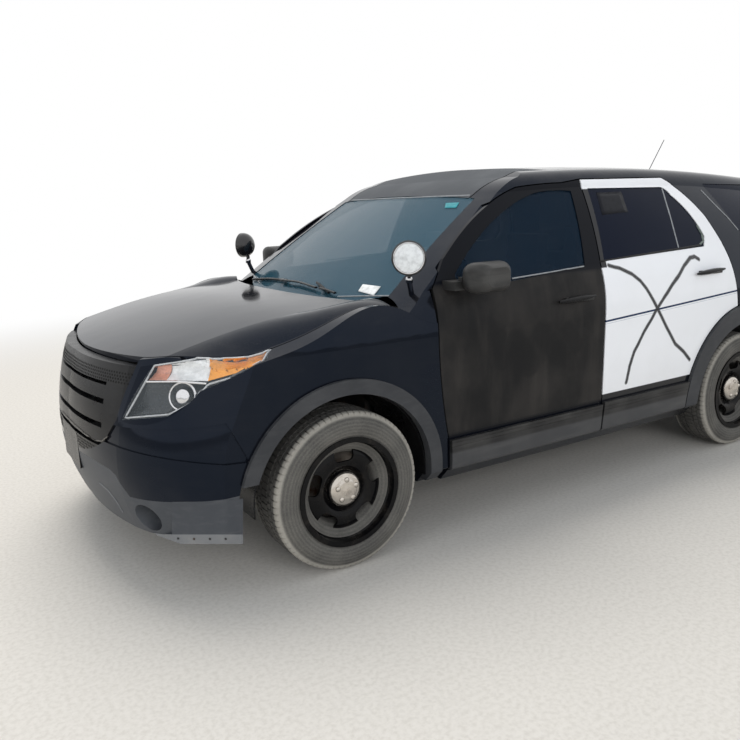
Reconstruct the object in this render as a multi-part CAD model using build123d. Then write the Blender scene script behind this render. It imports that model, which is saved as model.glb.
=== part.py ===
from build123d import *
import math
import os

# A full-size patrol estate, front towards +X, its left side towards +Y, its tyres standing on Z = 0.
# Sizes are millimetres. The left half is modelled and the right half is its mirror image.

# Driving dimensions
LENGTH = 5006.0
HEIGHT = 1758.0
HALF_WIDTH = 1002.0
WHEELBASE = 2860.0
FRONT_OVERHANG = 940.0
HALF_TRACK = 851.0
TYRE_RADIUS = 358.0
TYRE_WIDTH = 245.0
RIM_RADIUS = 246.0
NOSE_X = LENGTH / 2
TAIL_X = -LENGTH / 2
AXLE_F = NOSE_X - FRONT_OVERHANG
AXLE_R = AXLE_F - WHEELBASE

# Panel dimensions
PANEL_GAP = 6.0
DOOR_GAP = 8.0
DOOR_SKIN = 26.0
DOOR_DEPTH = 88.0
FRAME_SKIN = 16.0
FRAME_DEPTH = 44.0
BODY_CLEARANCE = 12.0
SIDE_DEPTH = 104.0
PILLAR_DEPTH = 58.0
SHEET = 26.0
GLASS_SET = 5.0
GLASS = 5.0
SEAT = 0.3
ARCH_INNER = 436.0
ARCH_OUTER = 500.0
REAR_ARCH_OUTER = 545.0
TRIM_PROUD = 20.0
DOOR_RIM = -38.0
HINGE_ROOT = 8.0
HINGE_DEPTH = 30.0
HINGE_HIGH = 70.0
HINGE_Z = (460.0, 880.0)


def fore(x):
    return AXLE_F + x


def aft(x):
    return AXLE_R + x


def nose(x):
    return NOSE_X - x


def tail(x):
    return TAIL_X + x


def wide(y):
    return HALF_WIDTH - y


# Body stations, one row per cross-section of the closed body with the cabin carried over its whole length:
# x, then the insets of rocker, side, belt and rail from the half width, belt height and rail drop
BODY_STATIONS = [
    (fore(1057), 192, 97, 152, 1130, 442, 170),
    (fore(-63), 140, 40, 99, 1168, 402, 75),
    (fore(-963), 122, 27, 86, 1205, 370, 27),
    (aft(997), 117, 23, 82, 1240, 357, 0),
    (aft(-3), 122, 28, 94, 1268, 372, 27),
    (aft(-1323), 162, 87, 157, 1300, 432, 112),
]
ROCKER_Z = 262.0
SILL_Z = 345.0
SIDE_Z = 985.0
CROWN_RISE = 36.0
RAIL_DROP = 92.0
RAIL_SPREAD = 92.0

# Windscreen profile on the centre line and its sweep back towards the pillars
SCREEN_BASE = (nose(1145), 1120.0)
SCREEN_TOP = (nose(1883), 1606.0)
HEADER = (nose(2073), 1684.0)
ROOF_START = (nose(2450), 1770.0)
SCREEN_SWEEP = 105.0
SCREEN_EDGE_LOW = (757.0, 1159.0)
SCREEN_EDGE_HIGH = (634.0, 1583.0)

# Bonnet sections: x, centre height, height at the crease and height at the shut line
BONNET_CREASE_Y = 700.0
BONNET_EDGE_Y = 868.0
BONNET_SECTIONS = [
    (nose(-80), 915, 890, 800),
    (nose(60), 958, 938, 868),
    (nose(253), 1020, 1000, 912),
    (nose(403), 1058, 1040, 960),
    (nose(573), 1096, 1078, 1003),
    (nose(873), 1138, 1120, 1078),
    (nose(1203), 1166, 1146, 1138),
    (nose(1503), 1178, 1160, 1160),
]

# Nose plan outlines: height, then insets from the nose at y 0, 290, 560 and 800, and the corner's end
NOSE_Y = (290.0, 560.0, 800.0)
NOSE_OUTLINES = [
    (120, 104, 116, 170, 312, 566, 32),
    (250, 70, 82, 134, 275, 533, 32),
    (420, 13, 27, 83, 228, 513, 27),
    (600, 0, 14, 73, 218, 503, 22),
    (800, 23, 39, 108, 268, 553, 17),
    (1000, 83, 101, 178, 353, 623, 17),
    (1250, 230, 250, 330, 510, 780, 17),
]

# Tail plan outlines: height, then inset from the tail at the centre line
TAIL_OUTLINES = [
    (120, 96),
    (240, 70),
    (480, 0),
    (640, 4),
    (800, 46),
    (1100, 62),
    (1300, 102),
    (1500, 190),
    (1700, 288),
    (1850, 350),
]


def at(x, y, z):
    return Vector(x, y, z)


def chain(points):
    """A closed face from corner points, where a corner given as (middle, end) ends an arc."""
    edges = []
    here = points[0]
    for step in points[1:]:
        if isinstance(step, tuple):
            middle, end = step
            edges.append(Edge.make_three_point_arc(here, middle, end))
            here = end
        else:
            edges.append(Edge.make_line(here, step))
            here = step
    edges.append(Edge.make_line(here, points[0]))
    return Face(Wire(edges))


def bulge(a, b, sagitta, towards):
    """The middle point of an arc from a to b that stands off the chord by sagitta, towards a direction."""
    chord = b - a
    side = towards - chord * (towards.dot(chord) / chord.dot(chord))
    return (a + b) * 0.5 + side.normalized() * sagitta


def side_prism(outline, y0=-10.0, y1=1300.0):
    """A prism across the car from a side-view outline of (x, z) corners, arcs given as ((x, z), (x, z))."""
    def lift(p):
        if isinstance(p[0], tuple):
            return (at(p[0][0], y0, p[0][1]), at(p[1][0], y0, p[1][1]))
        return at(p[0], y0, p[1])
    return extrude(chain([lift(p) for p in outline]), y1 - y0, dir=(0, 1, 0))


def front_prism(outline, x0, x1):
    """A prism along the car from a front-view outline of (y, z) corners."""
    def lift(p):
        if isinstance(p[0], tuple):
            return (at(x0, p[0][0], p[0][1]), at(x0, p[1][0], p[1][1]))
        return at(x0, p[0], p[1])
    return extrude(chain([lift(p) for p in outline]), x1 - x0, dir=(1, 0, 0))


def plan_prism(outline, z0, z1):
    """An upright prism from a plan outline of (x, y) corners."""
    def lift(p):
        if isinstance(p[0], tuple):
            return (at(p[0][0], p[0][1], z0), at(p[1][0], p[1][1], z0))
        return at(p[0], p[1], z0)
    return extrude(chain([lift(p) for p in outline]), z1 - z0, dir=(0, 0, 1))


def block(x0, x1, y0, y1, z0, z1):
    return Pos((x0 + x1) / 2, (y0 + y1) / 2, (z0 + z1) / 2) * Box(x1 - x0, y1 - y0, z1 - z0)


def tube(a, b, radius):
    """A round bar from point a to point b."""
    line = Vector(*b) - Vector(*a)
    return Solid.make_cylinder(radius, line.length, Plane(origin=Vector(*a), z_dir=line.normalized()))


def across(x, y0, y1, z, radius):
    return tube((x, y0, z), (x, y1, z), radius)


def mirrored(shape):
    return mirror(shape, about=Plane.XZ)


def grow(outline, amount):
    """A closed outline of corners and arc points moved outwards by amount, with mitred corners."""
    flat = []
    for p in outline:
        flat += list(p) if isinstance(p[0], tuple) else [p]
    count = len(flat)
    area = sum(flat[k - 1][0] * flat[k][1] - flat[k][0] * flat[k - 1][1] for k in range(count))
    turn = math.copysign(1.0, area)
    moved = []
    for k, here in enumerate(flat):
        before, after = flat[k - 1], flat[(k + 1) % count]
        a = math.atan2(here[1] - before[1], here[0] - before[0])
        b = math.atan2(after[1] - here[1], after[0] - here[0])
        bend = math.remainder(b - a, 2 * math.pi) / 2
        reach = amount * turn / max(math.cos(bend), 0.35)
        normal = a + bend - math.pi / 2
        moved.append((here[0] + reach * math.cos(normal), here[1] + reach * math.sin(normal)))
    shaped = []
    for p in outline:
        shaped.append((moved.pop(0), moved.pop(0)) if isinstance(p[0], tuple) else moved.pop(0))
    return shaped


# Master surfaces

def body_section(row, skin, glass, roof, floor):
    """One half of the closed body's cross-section, moved in by skin, glass, roof and floor."""
    x, rocker_in, side_in, belt_in, z_belt, rail_in, rail_drop = row
    z_rail = HEIGHT - CROWN_RISE - rail_drop
    out = Vector(0, 1, 0)
    up = Vector(0, 0, 1)
    rocker = at(x, wide(rocker_in) - skin, ROCKER_Z + floor)
    sill = at(x, wide(side_in + 22) - skin, SILL_Z + floor)
    side = at(x, wide(side_in) - skin, SIDE_Z)
    belt = at(x, wide(belt_in) - glass, z_belt)
    top = at(x, wide(rail_in) + RAIL_SPREAD - glass, z_rail - RAIL_DROP - roof * 0.5)
    rail = at(x, wide(rail_in) - glass * 0.6, z_rail - roof)
    crown = at(x, 0, z_rail + CROWN_RISE - roof)
    return chain([
        at(x, 0, ROCKER_Z + floor),
        rocker,
        sill,
        (bulge(sill, side, 9, out), side),
        (bulge(side, belt, 13, out), belt),
        (bulge(belt, top, 12, out), top),
        (bulge(top, rail, 20, out + up), rail),
        (bulge(rail, crown, 9, up), crown),
    ])


def van(skin=0.0, glass=None, roof=None, floor=0.0):
    glass = skin if glass is None else glass
    roof = glass if roof is None else roof
    return loft([body_section(r, skin, glass, roof, floor) for r in BODY_STATIONS])


def screen_profile(y, inset):
    """The windscreen's side profile at y, swept back towards the pillars, inset square to the glass."""
    back = -SCREEN_SWEEP * (y / SCREEN_EDGE_LOW[0]) ** 2
    run = SCREEN_BASE[0] - SCREEN_TOP[0]
    rise = SCREEN_TOP[1] - SCREEN_BASE[1]
    span = math.hypot(run, rise)
    dx = -inset * rise / span
    dz = -inset * run / span
    base = at(SCREEN_BASE[0] + back + dx, y, SCREEN_BASE[1] + dz)
    top = at(SCREEN_TOP[0] + back + dx, y, SCREEN_TOP[1] + dz)
    header = at(HEADER[0] + back + dx, y, HEADER[1] + dz)
    start = at(ROOF_START[0] + back, y, ROOF_START[1] - inset)
    toe = base + (base - top).normalized() * 260
    return chain([
        at(tail(-300), y, 0),
        at(toe.X, y, 0),
        toe,
        base,
        (bulge(base, top, 10, Vector(1, 0, 1)), top),
        (bulge(top, header, 10, Vector(1, 0, 1)), header),
        (bulge(header, start, 14, Vector(0, 0, 1)), start),
        at(tail(-300), y, ROOF_START[1] + 60),
    ])


def screen(inset=0.0):
    """Everything behind the windscreen's surface."""
    return loft([screen_profile(y, inset) for y in (-1.0, 330.0, 660.0, 1010.0)])


def bonnet_section(row, inset):
    x, z_centre, z_crease, z_edge = row
    drop = (z_crease - z_edge) * 0.9
    return chain([
        at(x, -1, 0),
        at(x, 1100, 0),
        at(x, 1100, z_edge - drop - inset),
        at(x, BONNET_EDGE_Y, z_edge - inset),
        (at(x, (BONNET_EDGE_Y + BONNET_CREASE_Y) / 2, (z_edge + z_crease) / 2 + 16 - inset),
         at(x, BONNET_CREASE_Y, z_crease - inset)),
        (at(x, BONNET_CREASE_Y / 2, z_crease + (z_centre - z_crease) * 0.78 - inset),
         at(x, -1, z_centre - inset)),
    ])


def bonnet(inset=0.0):
    """Everything under the bonnet's surface."""
    return loft([bonnet_section(row, inset) for row in BONNET_SECTIONS])


def nose_outline(row, inset):
    z, x0, x1, x2, x3, x4, y4 = row
    y1, y2, y3 = NOSE_Y
    back = nose(2600)
    y_end = wide(y4) - inset
    return chain([
        at(back, -1, z),
        at(nose(x0) - inset, -1, z),
        (at(nose(x1) - inset, y1, z), at(nose(x2) - inset, y2, z)),
        (at(nose(x3) - inset * 0.8, y3 - inset * 0.5, z), at(nose(x4), y_end, z)),
        at(back, y_end + 60, z),
    ])


def nose_end(inset=0.0):
    """Everything behind the nose's surface."""
    return loft([nose_outline(row, inset) for row in NOSE_OUTLINES])


def tail_outline(row, inset):
    z, x0 = row
    front = tail(4700)
    back = tail(x0) + inset
    return chain([
        at(front, -1, z),
        at(back, -1, z),
        (at(back + 10, 330, z), at(back + 46, 660, z)),
        (at(back + 128, 850 - inset * 0.4, z), at(back + 330, wide(30) - inset, z)),
        at(front, wide(0) - inset + 60, z),
    ])


def tail_end(inset=0.0):
    """Everything ahead of the tail's surface."""
    return loft([tail_outline(row, inset) for row in TAIL_OUTLINES])


# Side-view outlines

DOOR_F_EDGE = fore(-488)
B_SPLIT = aft(1289)
SILL_BOTTOM = 318.0
DOOR_BOTTOM = 330.0


def pillar_line(shift):
    """Centre pillar split from its top down, moved along X: upper end, waist, arc middle, arc end, foot."""
    line = [(-62, 1664), (-18, 1218), (-7, 985), (-12, 525), (-8, DOOR_BOTTOM)]
    return [(B_SPLIT + x + shift, z) for x, z in line]


def front_door_outline():
    """Front door, clockwise from the top of the centre pillar split."""
    top, waist, middle, low, foot = pillar_line(DOOR_GAP / 2)
    return [
        top,
        (fore(-1488), 1647),
        ((fore(-1340), 1642), (fore(-1168), 1628)),
        ((fore(-920), 1531), (fore(-670), 1373)),
        (fore(-598), 1316),
        (fore(-500), 1190),
        ((DOOR_F_EDGE - 6, 846), (fore(-547), 499)),
        (fore(-557), DOOR_BOTTOM),
        foot,
        low,
        (middle, waist),
    ]


def rear_door_outline():
    """Rear door, clockwise from its top at the centre pillar split."""
    top, waist, middle, sill, corner = pillar_line(-DOOR_GAP / 2)
    arch = REAR_ARCH_OUTER + PANEL_GAP
    low = -math.asin((TYRE_RADIUS - DOOR_BOTTOM) / arch)
    high = math.radians(80)
    mid = math.radians(40)
    foot = (AXLE_R + arch * math.cos(low), DOOR_BOTTOM)
    return [
        top,
        waist,
        (middle, sill),
        corner,
        foot,
        ((AXLE_R + arch * math.cos(mid), TYRE_RADIUS + arch * math.sin(mid)),
         (AXLE_R + arch * math.cos(high), TYRE_RADIUS + arch * math.sin(high))),
        ((aft(134), 1090), (aft(198), 1290)),
        (aft(270), 1436),
        ((aft(380), 1560), (aft(480), 1638)),
        (aft(545), 1668),
    ]


def front_glass_outline():
    return [
        (B_SPLIT + 30, 1606),
        ((fore(-1420), 1612), (fore(-1280), 1600)),
        ((fore(-1030), 1512), (fore(-730), 1322)),
        (fore(-640), 1246),
        (fore(-650), 1178),
        ((fore(-1060), 1196), (B_SPLIT + 96, 1232)),
    ]


def rear_glass_outline():
    return [
        (B_SPLIT - 100, 1618),
        (B_SPLIT - 50, 1240),
        ((aft(800), 1256), (aft(372), 1270)),
        (aft(342), 1326),
        ((aft(400), 1446), (aft(512), 1568)),
        ((aft(538), 1600), (aft(590), 1616)),
    ]


def quarter_glass_outline():
    return [
        (aft(150), 1630),
        (aft(-40), 1316),
        ((aft(-430), 1330), (aft(-800), 1350)),
        ((aft(-850), 1420), (aft(-812), 1500)),
        ((aft(-760), 1580), (aft(-690), 1612)),
    ]


# Master volumes used by several pieces
VAN_SKIN = van()
VAN_FLANGE = van(DOOR_SKIN, FRAME_SKIN)
VAN_FLANGE_CLEAR = van(DOOR_SKIN + BODY_CLEARANCE, FRAME_SKIN + BODY_CLEARANCE)
VAN_DOOR = van(DOOR_DEPTH, FRAME_DEPTH)
VAN_GLASS_OUT = van(GLASS_SET)
VAN_GLASS_IN = van(GLASS_SET + GLASS)
VAN_PROUD = van(-TRIM_PROUD)
CAB_OUT = VAN_SKIN & screen() & tail_end()
CAB_IN = van(SIDE_DEPTH, PILLAR_DEPTH, 46, 50) & screen(42) & tail_end(70)
FRONT_OUT = VAN_SKIN & bonnet() & nose_end()
FRONT_IN = van(SHEET) & bonnet(SHEET) & nose_end(SHEET)
FRONT_DEEP = van(70) & bonnet(70) & nose_end(90)

ARCH_F = across(AXLE_F, 500, 1200, TYRE_RADIUS, ARCH_INNER)
ARCH_R = across(AXLE_R, 500, 1200, TYRE_RADIUS, ARCH_INNER)
ARCH_F_TRIM = across(AXLE_F, 500, 1200, TYRE_RADIUS, ARCH_OUTER)
ARCH_R_TRIM = across(AXLE_R, 500, 1200, TYRE_RADIUS, REAR_ARCH_OUTER)


def door(outline):
    """A door: a thin flange all round and a deeper box inside it, as thick as the whole door."""
    whole = outline
    inner = grow(outline, DOOR_RIM)
    flange = (VAN_SKIN & side_prism(whole)) - VAN_FLANGE
    box = (VAN_SKIN & side_prism(inner)) - VAN_DOOR
    return flange + box


def hinge_blocks(outline, x_edge, heights):
    """Hinge blocks on the pillar, reaching back to the front face of a door's box."""
    band = side_prism(grow(outline, DOOR_RIM + BODY_CLEARANCE + HINGE_ROOT), 500)
    band = band - side_prism(grow(outline, DOOR_RIM + SEAT), 490)
    outer = side_point(x_edge, heights[0]) - DOOR_SKIN - BODY_CLEARANCE - HINGE_ROOT
    blocks = [band & block(x_edge - 60, x_edge + 40, outer - HINGE_DEPTH, outer, z - HINGE_HIGH / 2, z + HINGE_HIGH / 2)
              for z in heights]
    return blocks[0] + blocks[1]


def door_opening(outline):
    """The room that a door takes in the body side, with its running gaps."""
    outer = side_prism(grow(outline, PANEL_GAP), 500) - VAN_FLANGE_CLEAR
    inner = side_prism(grow(outline, DOOR_RIM + BODY_CLEARANCE), 500)
    return outer + inner


def pane(outline, clearance):
    """A side window that follows the body's curve, let into its opening."""
    return (VAN_GLASS_OUT & side_prism(grow(outline, -clearance), 500)) - VAN_GLASS_IN


# Front end zones

SPLIT_LINE = [(0, 508), ((240, 530), (500, 522)), (536, 506), (604, 424), ((800, 434), (1100, 478))]
FOG_Y = 660.0
FOG_Z = 338.0
FOG_RADIUS = 60.0
FOG_WALL = 8.0
FOG_BACK = 256.0
MIRROR_Y0 = 966.0
FENDER_SEAM = (nose(338), nose(493))
DISH_DEPTH = 9.0
DISH = [
    (nose(640), 790),
    (nose(354), 748),
    (nose(198), 730),
    (nose(20), 712),
    (nose(20), 640),
    (nose(400), 590),
    (nose(640), 570),
]


def oblique_prism(points, depth=1200.0):
    """A prism along the diagonal between +X and +Y through points on the front corner."""
    along = Vector(1, 1, 0).normalized()
    flat = []
    for p in points:
        if isinstance(p[0], tuple):
            pair = []
            for q in p:
                v = Vector(*q)
                pair.append(v - along * v.dot(along) + along * 1500)
            flat.append(tuple(pair))
        else:
            v = Vector(*p)
            flat.append(v - along * v.dot(along) + along * 1500)
    return extrude(chain(flat), depth, dir=(along.X, along.Y, 0))


def bonnet_plan():
    """Bonnet shut line seen from above, from the middle of its rear edge round to the middle of its lip."""
    return [
        (nose(1075), -1),
        ((nose(1105), 430), (nose(1210), 800)),
        (nose(1236), BONNET_EDGE_Y),
        (nose(655), BONNET_EDGE_Y + 6),
        ((nose(352), 772), (nose(212), 585)),
        ((nose(140), 300), (nose(112), -1)),
    ]


def grille_front():
    """Grille opening seen from the front."""
    return [
        (-1, 548),
        ((250, 556), (470, 640)),
        (548, 742),
        (590, 938),
        (600, 1000),
        (-1, 1000),
    ]


LAMP_POINTS = [
    (nose(640), 872, 1034),
    ((nose(372), 760, 1000), (nose(222), 583, 962)),
    (nose(118), 556, 744),
    ((nose(210), 800, 775), (nose(290), 905, 880)),
    ((nose(420), 932, 925), (nose(600), 935, 990)),
]

BONNET_ZONE = plan_prism(bonnet_plan(), 900, 1300)
BONNET_ROOM = plan_prism(grow(bonnet_plan(), PANEL_GAP), 900, 1300)
LAMP_ZONE = oblique_prism(LAMP_POINTS)
GRILLE_ZONE = front_prism(grille_front(), nose(420), nose(-60))
FENDER_ZONE = side_prism([
    (fore(-600), 150),
    (fore(-600), 1400),
    (nose(200), 1400),
    (FENDER_SEAM[0], 912),
    (FENDER_SEAM[1], 590),
    (nose(535), 440),
    (fore(300), 150),
], 500)
FRONT_DOOR_ROOM = side_prism(grow(front_door_outline(), PANEL_GAP), 500)
SCREEN_FRONT = [
    (-1, 1098),
    ((380, 1104), SCREEN_EDGE_LOW),
    SCREEN_EDGE_HIGH,
    ((330, SCREEN_TOP[1] - 6), (-1, SCREEN_TOP[1])),
]
SCREEN_ZONE = front_prism(SCREEN_FRONT, fore(-1100), fore(60))
FRONT_CLIP = (FRONT_OUT - FRONT_IN) - BONNET_ROOM - LAMP_ZONE - GRILLE_ZONE - ARCH_F_TRIM

GATE_TOP_X = tail(420)
GATE_BOTTOM = 652.0
GATE_DEPTH = 62.0
GATE_FLANGE = 16.0
GATE_GAP = 8.0
GATE_RIM = -20.0
GATE_LEAF_Z = 1642.0
GATE_FRONT = [
    (-1, GATE_BOTTOM),
    (716, GATE_BOTTOM),
    (742, 900),
    ((748, 1080), (706, 1300)),
    (604, 1540),
    (596, 1600),
    (596, 1900),
    (-1, 1900),
]
GATE_GLASS = [
    (-1, 1190),
    (640, 1196),
    ((652, 1220), (648, 1250)),
    (560, 1520),
    ((545, 1548), (515, 1556)),
    (-1, 1566),
]
ROOF_EDGE_Y = 600.0
ROOF_DITCH = 8.0
SPOILER = side_prism([
    (GATE_TOP_X, 1850),
    (tail(176), 1850),
    (tail(176), 1652),
    (tail(300), 1630),
    (GATE_TOP_X, 1560),
], -1, 596)


def gate_zone(margin):
    return front_prism(grow(GATE_FRONT, margin), tail(-200), GATE_TOP_X + margin)


CABIN_SHELL = CAB_OUT - CAB_IN


def body_side():
    """Sill, pillars and rear quarter of one side in one piece."""
    side = CABIN_SHELL & block(tail(-20), fore(60), ROOF_EDGE_Y, 1200, 200, 1900)
    side = side - door_opening(front_door_outline()) - door_opening(rear_door_outline())
    side = side - side_prism(quarter_glass_outline(), 500)
    side = side - ARCH_R - SCREEN_ZONE - gate_zone(GATE_GAP)
    side = side - block(tail(-30), aft(-560), 500, 1200, 200, GATE_BOTTOM + 20)
    side = side - front_prism(grow(LAMP_REAR, SEAT), tail(-100), tail(290) + SEAT)
    side = side - (block(fore(-560), fore(-480), 500, 1200, 200, 1190) - van(SHEET + BODY_CLEARANCE))
    front = fore(-488)
    pillar = side & (block(front, fore(60), 500, 1200, 200, 1900) - bonnet(-SEAT))
    post = (side & block(front, fore(-448), 500, 1200, 200, 1170) & van(SHEET + BODY_CLEARANCE)
            & bonnet(SHEET + BODY_CLEARANCE))
    main = side & block(tail(-30), front, 500, 1200, 200, 1900)
    hinges = hinge_blocks(front_door_outline(), DOOR_F_EDGE - 30, HINGE_Z)
    hinges = hinges + hinge_blocks(rear_door_outline(), B_SPLIT - 30, HINGE_Z)
    return main + pillar + post + hinges + spot_bracket()


ANTENNA_FOOT = (-1552.0, 0.0, 1712.0)
ANTENNA_TIP = (-1728.0, 0.0, 1955.0)


def antenna():
    """Aerial on the rear of the roof: a tapered foot and a whip that leans back."""
    return Pos(*ANTENNA_FOOT) * Cone(17, 9, 40) + tube(ANTENNA_FOOT, ANTENNA_TIP, 2.5)


def roof_panel():
    half = CABIN_SHELL & block(GATE_TOP_X + PANEL_GAP, fore(-500), 0, ROOF_EDGE_Y - ROOF_DITCH, 1480, 1900)
    half = half - SCREEN_ZONE
    leaf = block(GATE_TOP_X + SEAT, GATE_TOP_X + PANEL_GAP + 10, 260, 380, GATE_LEAF_Z - 12, GATE_LEAF_Z + 12)
    half = half + leaf
    return half + mirrored(half) + antenna()


def windscreen():
    zone = front_prism(grow(SCREEN_FRONT, -SEAT), fore(-1100), fore(60)) & block(fore(-1200), fore(100), 0, 900, 900, 1700)
    half = (screen(3) & zone) - screen(3 + GLASS + 1)
    return half + mirrored(half)


def front_fender():
    wing = (FRONT_CLIP & FENDER_ZONE & block(fore(-560), nose(100), 500, 1200, 340, 1300)) - FRONT_DOOR_ROOM
    wing = wing - block(fore(-600), nose(655), 400, BONNET_EDGE_Y + PANEL_GAP, 200, 1400)
    return wing.solids().sort_by(SortBy.VOLUME)[-1]


def split_zone(lift):
    """Everything in front of the arches that lies over the line between bumper and valance."""
    line = [(y, z + lift) if not isinstance(y, tuple) else ((y[0], y[1] + lift), (z[0], z[1] + lift))
            for y, z in SPLIT_LINE]
    return front_prism([(0, 1300)] + line + [(1100, 1300)], fore(300), nose(-60))


PLATE_Z = 520.0
PLATE_WIDTH = 310.0
PLATE_HEIGHT = 170.0
PLATE_DEPTH = 34.0
PLATE_HOLE_SPACING = 177.8
PLATE_HOLE_RADIUS = 3.3
PLATE_HOLE_Z = PLATE_Z + 50


def plate_room(margin):
    half = PLATE_WIDTH / 2 + margin
    return block(nose(PLATE_DEPTH + margin), nose(-60), -half, half,
                 PLATE_Z - PLATE_HEIGHT / 2 - margin, PLATE_Z + PLATE_HEIGHT / 2 + margin)


def plate_holes():
    holes = [tube((nose(120), side * PLATE_HOLE_SPACING / 2, PLATE_HOLE_Z),
                  (nose(-20), side * PLATE_HOLE_SPACING / 2, PLATE_HOLE_Z), PLATE_HOLE_RADIUS) for side in (-1, 1)]
    return holes[0] + holes[1]


def plate_bracket():
    """Flat plate holder let into the nose, with its two screw holes."""
    body = plate_room(0) & block(nose(PLATE_DEPTH), NOSE_X, -300, 300, 300, 900)
    body = fillet(body.edges().filter_by(Axis.X), 12)
    return body - plate_holes()


def front_bumper():
    """Painted bumper with the crease under the lamps and the dished band below it."""
    front = block(fore(300), nose(-60), 0, 1200, 300, 1300)
    half = (FRONT_CLIP - FENDER_ZONE) & split_zone(SEAT) & front
    dish = side_prism(DISH, 0) - (van(DISH_DEPTH) & nose_end(DISH_DEPTH))
    half = half - (dish & front)
    return (half + mirrored(half)) - plate_room(SEAT) - plate_holes()


def front_valance():
    half = (FRONT_CLIP - FENDER_ZONE) & block(fore(300), nose(-60), 0, 1200, 200, 700)
    half = half - split_zone(0)
    cup = tube((nose(FOG_BACK), FOG_Y, FOG_Z), (nose(60), FOG_Y, FOG_Z), FOG_RADIUS + FOG_WALL) & FRONT_OUT
    cup = cup & block(nose(FOG_BACK), nose(60), 500, 900, 262, 600)
    hole = tube((nose(FOG_BACK - FOG_WALL), FOG_Y, FOG_Z), (nose(-40), FOG_Y, FOG_Z), FOG_RADIUS)
    half = half + cup - hole
    return (half + mirrored(half)) - plate_room(SEAT) - plate_holes()


def grille():
    """Bars between the headlamps: a perforated bar at the top and bottom and three wide bars between."""
    body = (FRONT_OUT - nose_end(48)) & GRILLE_ZONE & block(nose(420), nose(-60), 0, 700, 520, 960)
    for z0, z1 in ((610, 628), (690, 712), (790, 812), (868, 882)):
        body = body - block(nose(420), nose(-60), -1, 440, z0, z1)
    body = body - BONNET_ROOM
    return (body + mirrored(body)) - plate_room(SEAT)


def headlamp():
    return ((FRONT_OUT - FRONT_DEEP) & LAMP_ZONE) - BONNET_ROOM - GRILLE_ZONE


def bonnet_panel():
    half = ((FRONT_OUT - (van(SHEET) & bonnet(SHEET) & nose_end(SHEET))) & BONNET_ZONE
            & block(fore(-400), nose(-60), 0, 1200, 900, 1300))
    return half + mirrored(half)


def cowl():
    """Black panel between the bonnet's rear edge and the glass."""
    plan = [
        (nose(1085), 0),
        ((nose(1116), 430), (nose(1226), 800)),
        (nose(1252), BONNET_EDGE_Y),
        (nose(1340), BONNET_EDGE_Y),
        ((nose(1240), 400), (nose(1200), 0)),
    ]
    half = plan_prism(plan, 1040, 1090)
    return half + mirrored(half)


def arch_trim_front():
    ring = (VAN_PROUD & nose_end(-TRIM_PROUD)) - van(SHEET)
    ring = ring & (ARCH_F_TRIM - ARCH_F) & block(fore(-600), fore(600), 700, 1200, 300, 1200)
    return ring - block(fore(0), fore(700), 500, 1200, 200, 486)


def arch_trim_rear():
    ring = (VAN_PROUD - VAN_SKIN) & (ARCH_R_TRIM - ARCH_R)
    ring = ring & block(aft(-600), aft(600), 700, 1200, DOOR_BOTTOM, 1200)
    return ring - block(aft(-700), aft(0), 500, 1200, 200, 470)


def door_trim(outline, z_top):
    """Grey step moulding along the foot of a door."""
    zone = side_prism(grow(outline, -3), 500) & block(aft(-600), fore(100), 500, 1200, DOOR_BOTTOM + 2, z_top)
    return (VAN_PROUD & zone) - VAN_SKIN


def side_point(x, z):
    """The body side's half width at x and z, between the stations."""
    rows = sorted(BODY_STATIONS)
    for low, high in zip(rows, rows[1:]):
        if low[0] <= x <= high[0]:
            t = (x - low[0]) / (high[0] - low[0])
            side_in = low[2] + (high[2] - low[2]) * t
            belt_in = low[3] + (high[3] - low[3]) * t
            z_belt = low[4] + (high[4] - low[4]) * t
            if z <= SIDE_Z:
                return wide(side_in) - 20 * ((SIDE_Z - z) / (SIDE_Z - SILL_Z)) ** 2
            s = min(1.0, (z - SIDE_Z) / (z_belt - SIDE_Z))
            return wide(side_in) + (side_in - belt_in) * s + 40 * s * (1 - s)
    return wide(0)


def handle(x, z):
    """Pull handle: a bar on two feet over a shallow dish."""
    y = side_point(x, z)
    bar = Pos(x, y + 26, z) * Box(190, 16, 24)
    bar = fillet(bar.edges().filter_by(Axis.X), 6)
    feet = [Pos(x + s * 78, y + 8, z) * Box(26, 26, 22) for s in (-1, 1)]
    return bar + feet[0] + feet[1]


def mirror_shell():
    """Door mirror: a tapered housing on a foot at the door's front corner."""
    sections = []
    for y, x0, x1, z0, z1, r in (
        (MIRROR_Y0, 840, 930, 1196, 1262, 20),
        (MIRROR_Y0 + 50, 782, 970, 1176, 1300, 36),
        (MIRROR_Y0 + 150, 788, 962, 1180, 1302, 36),
        (MIRROR_Y0 + 178, 814, 936, 1202, 1286, 30),
    ):
        plane = Plane(origin=(fore((x0 + x1) / 2 - 1563), y, (z0 + z1) / 2), x_dir=(1, 0, 0), z_dir=(0, 1, 0))
        sections.append(plane * RectangleRounded(x1 - x0, z1 - z0, r))
    housing = loft(sections)
    glass_face = block(fore(-810), fore(-770), MIRROR_Y0 + 44, MIRROR_Y0 + 150, 1190, 1290)
    foot = block(fore(-640), fore(-560), 880, MIRROR_Y0 + 26, 1182, 1222)
    foot = foot + block(fore(-680), fore(-600), MIRROR_Y0, MIRROR_Y0 + 26, 1186, 1240)
    return (housing - glass_face) + foot



# Tail

TAIL_DEPTH = 60.0
LAMP_REAR = [
    (718, 905),
    (1100, 905),
    (1100, 1185),
    (712, 1185),
]
TAIL_IN = van(TAIL_DEPTH) & tail_end(TAIL_DEPTH)
GATE_SHAPE = (VAN_SKIN & tail_end()) + (VAN_SKIN & SPOILER)
GATE_ROOF = 44.0
GATE_IN = van(-40, -40, GATE_ROOF) & tail_end(GATE_DEPTH)
GATE_IN_RIM = van(-40, -40, GATE_ROOF) & tail_end(GATE_FLANGE)


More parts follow.
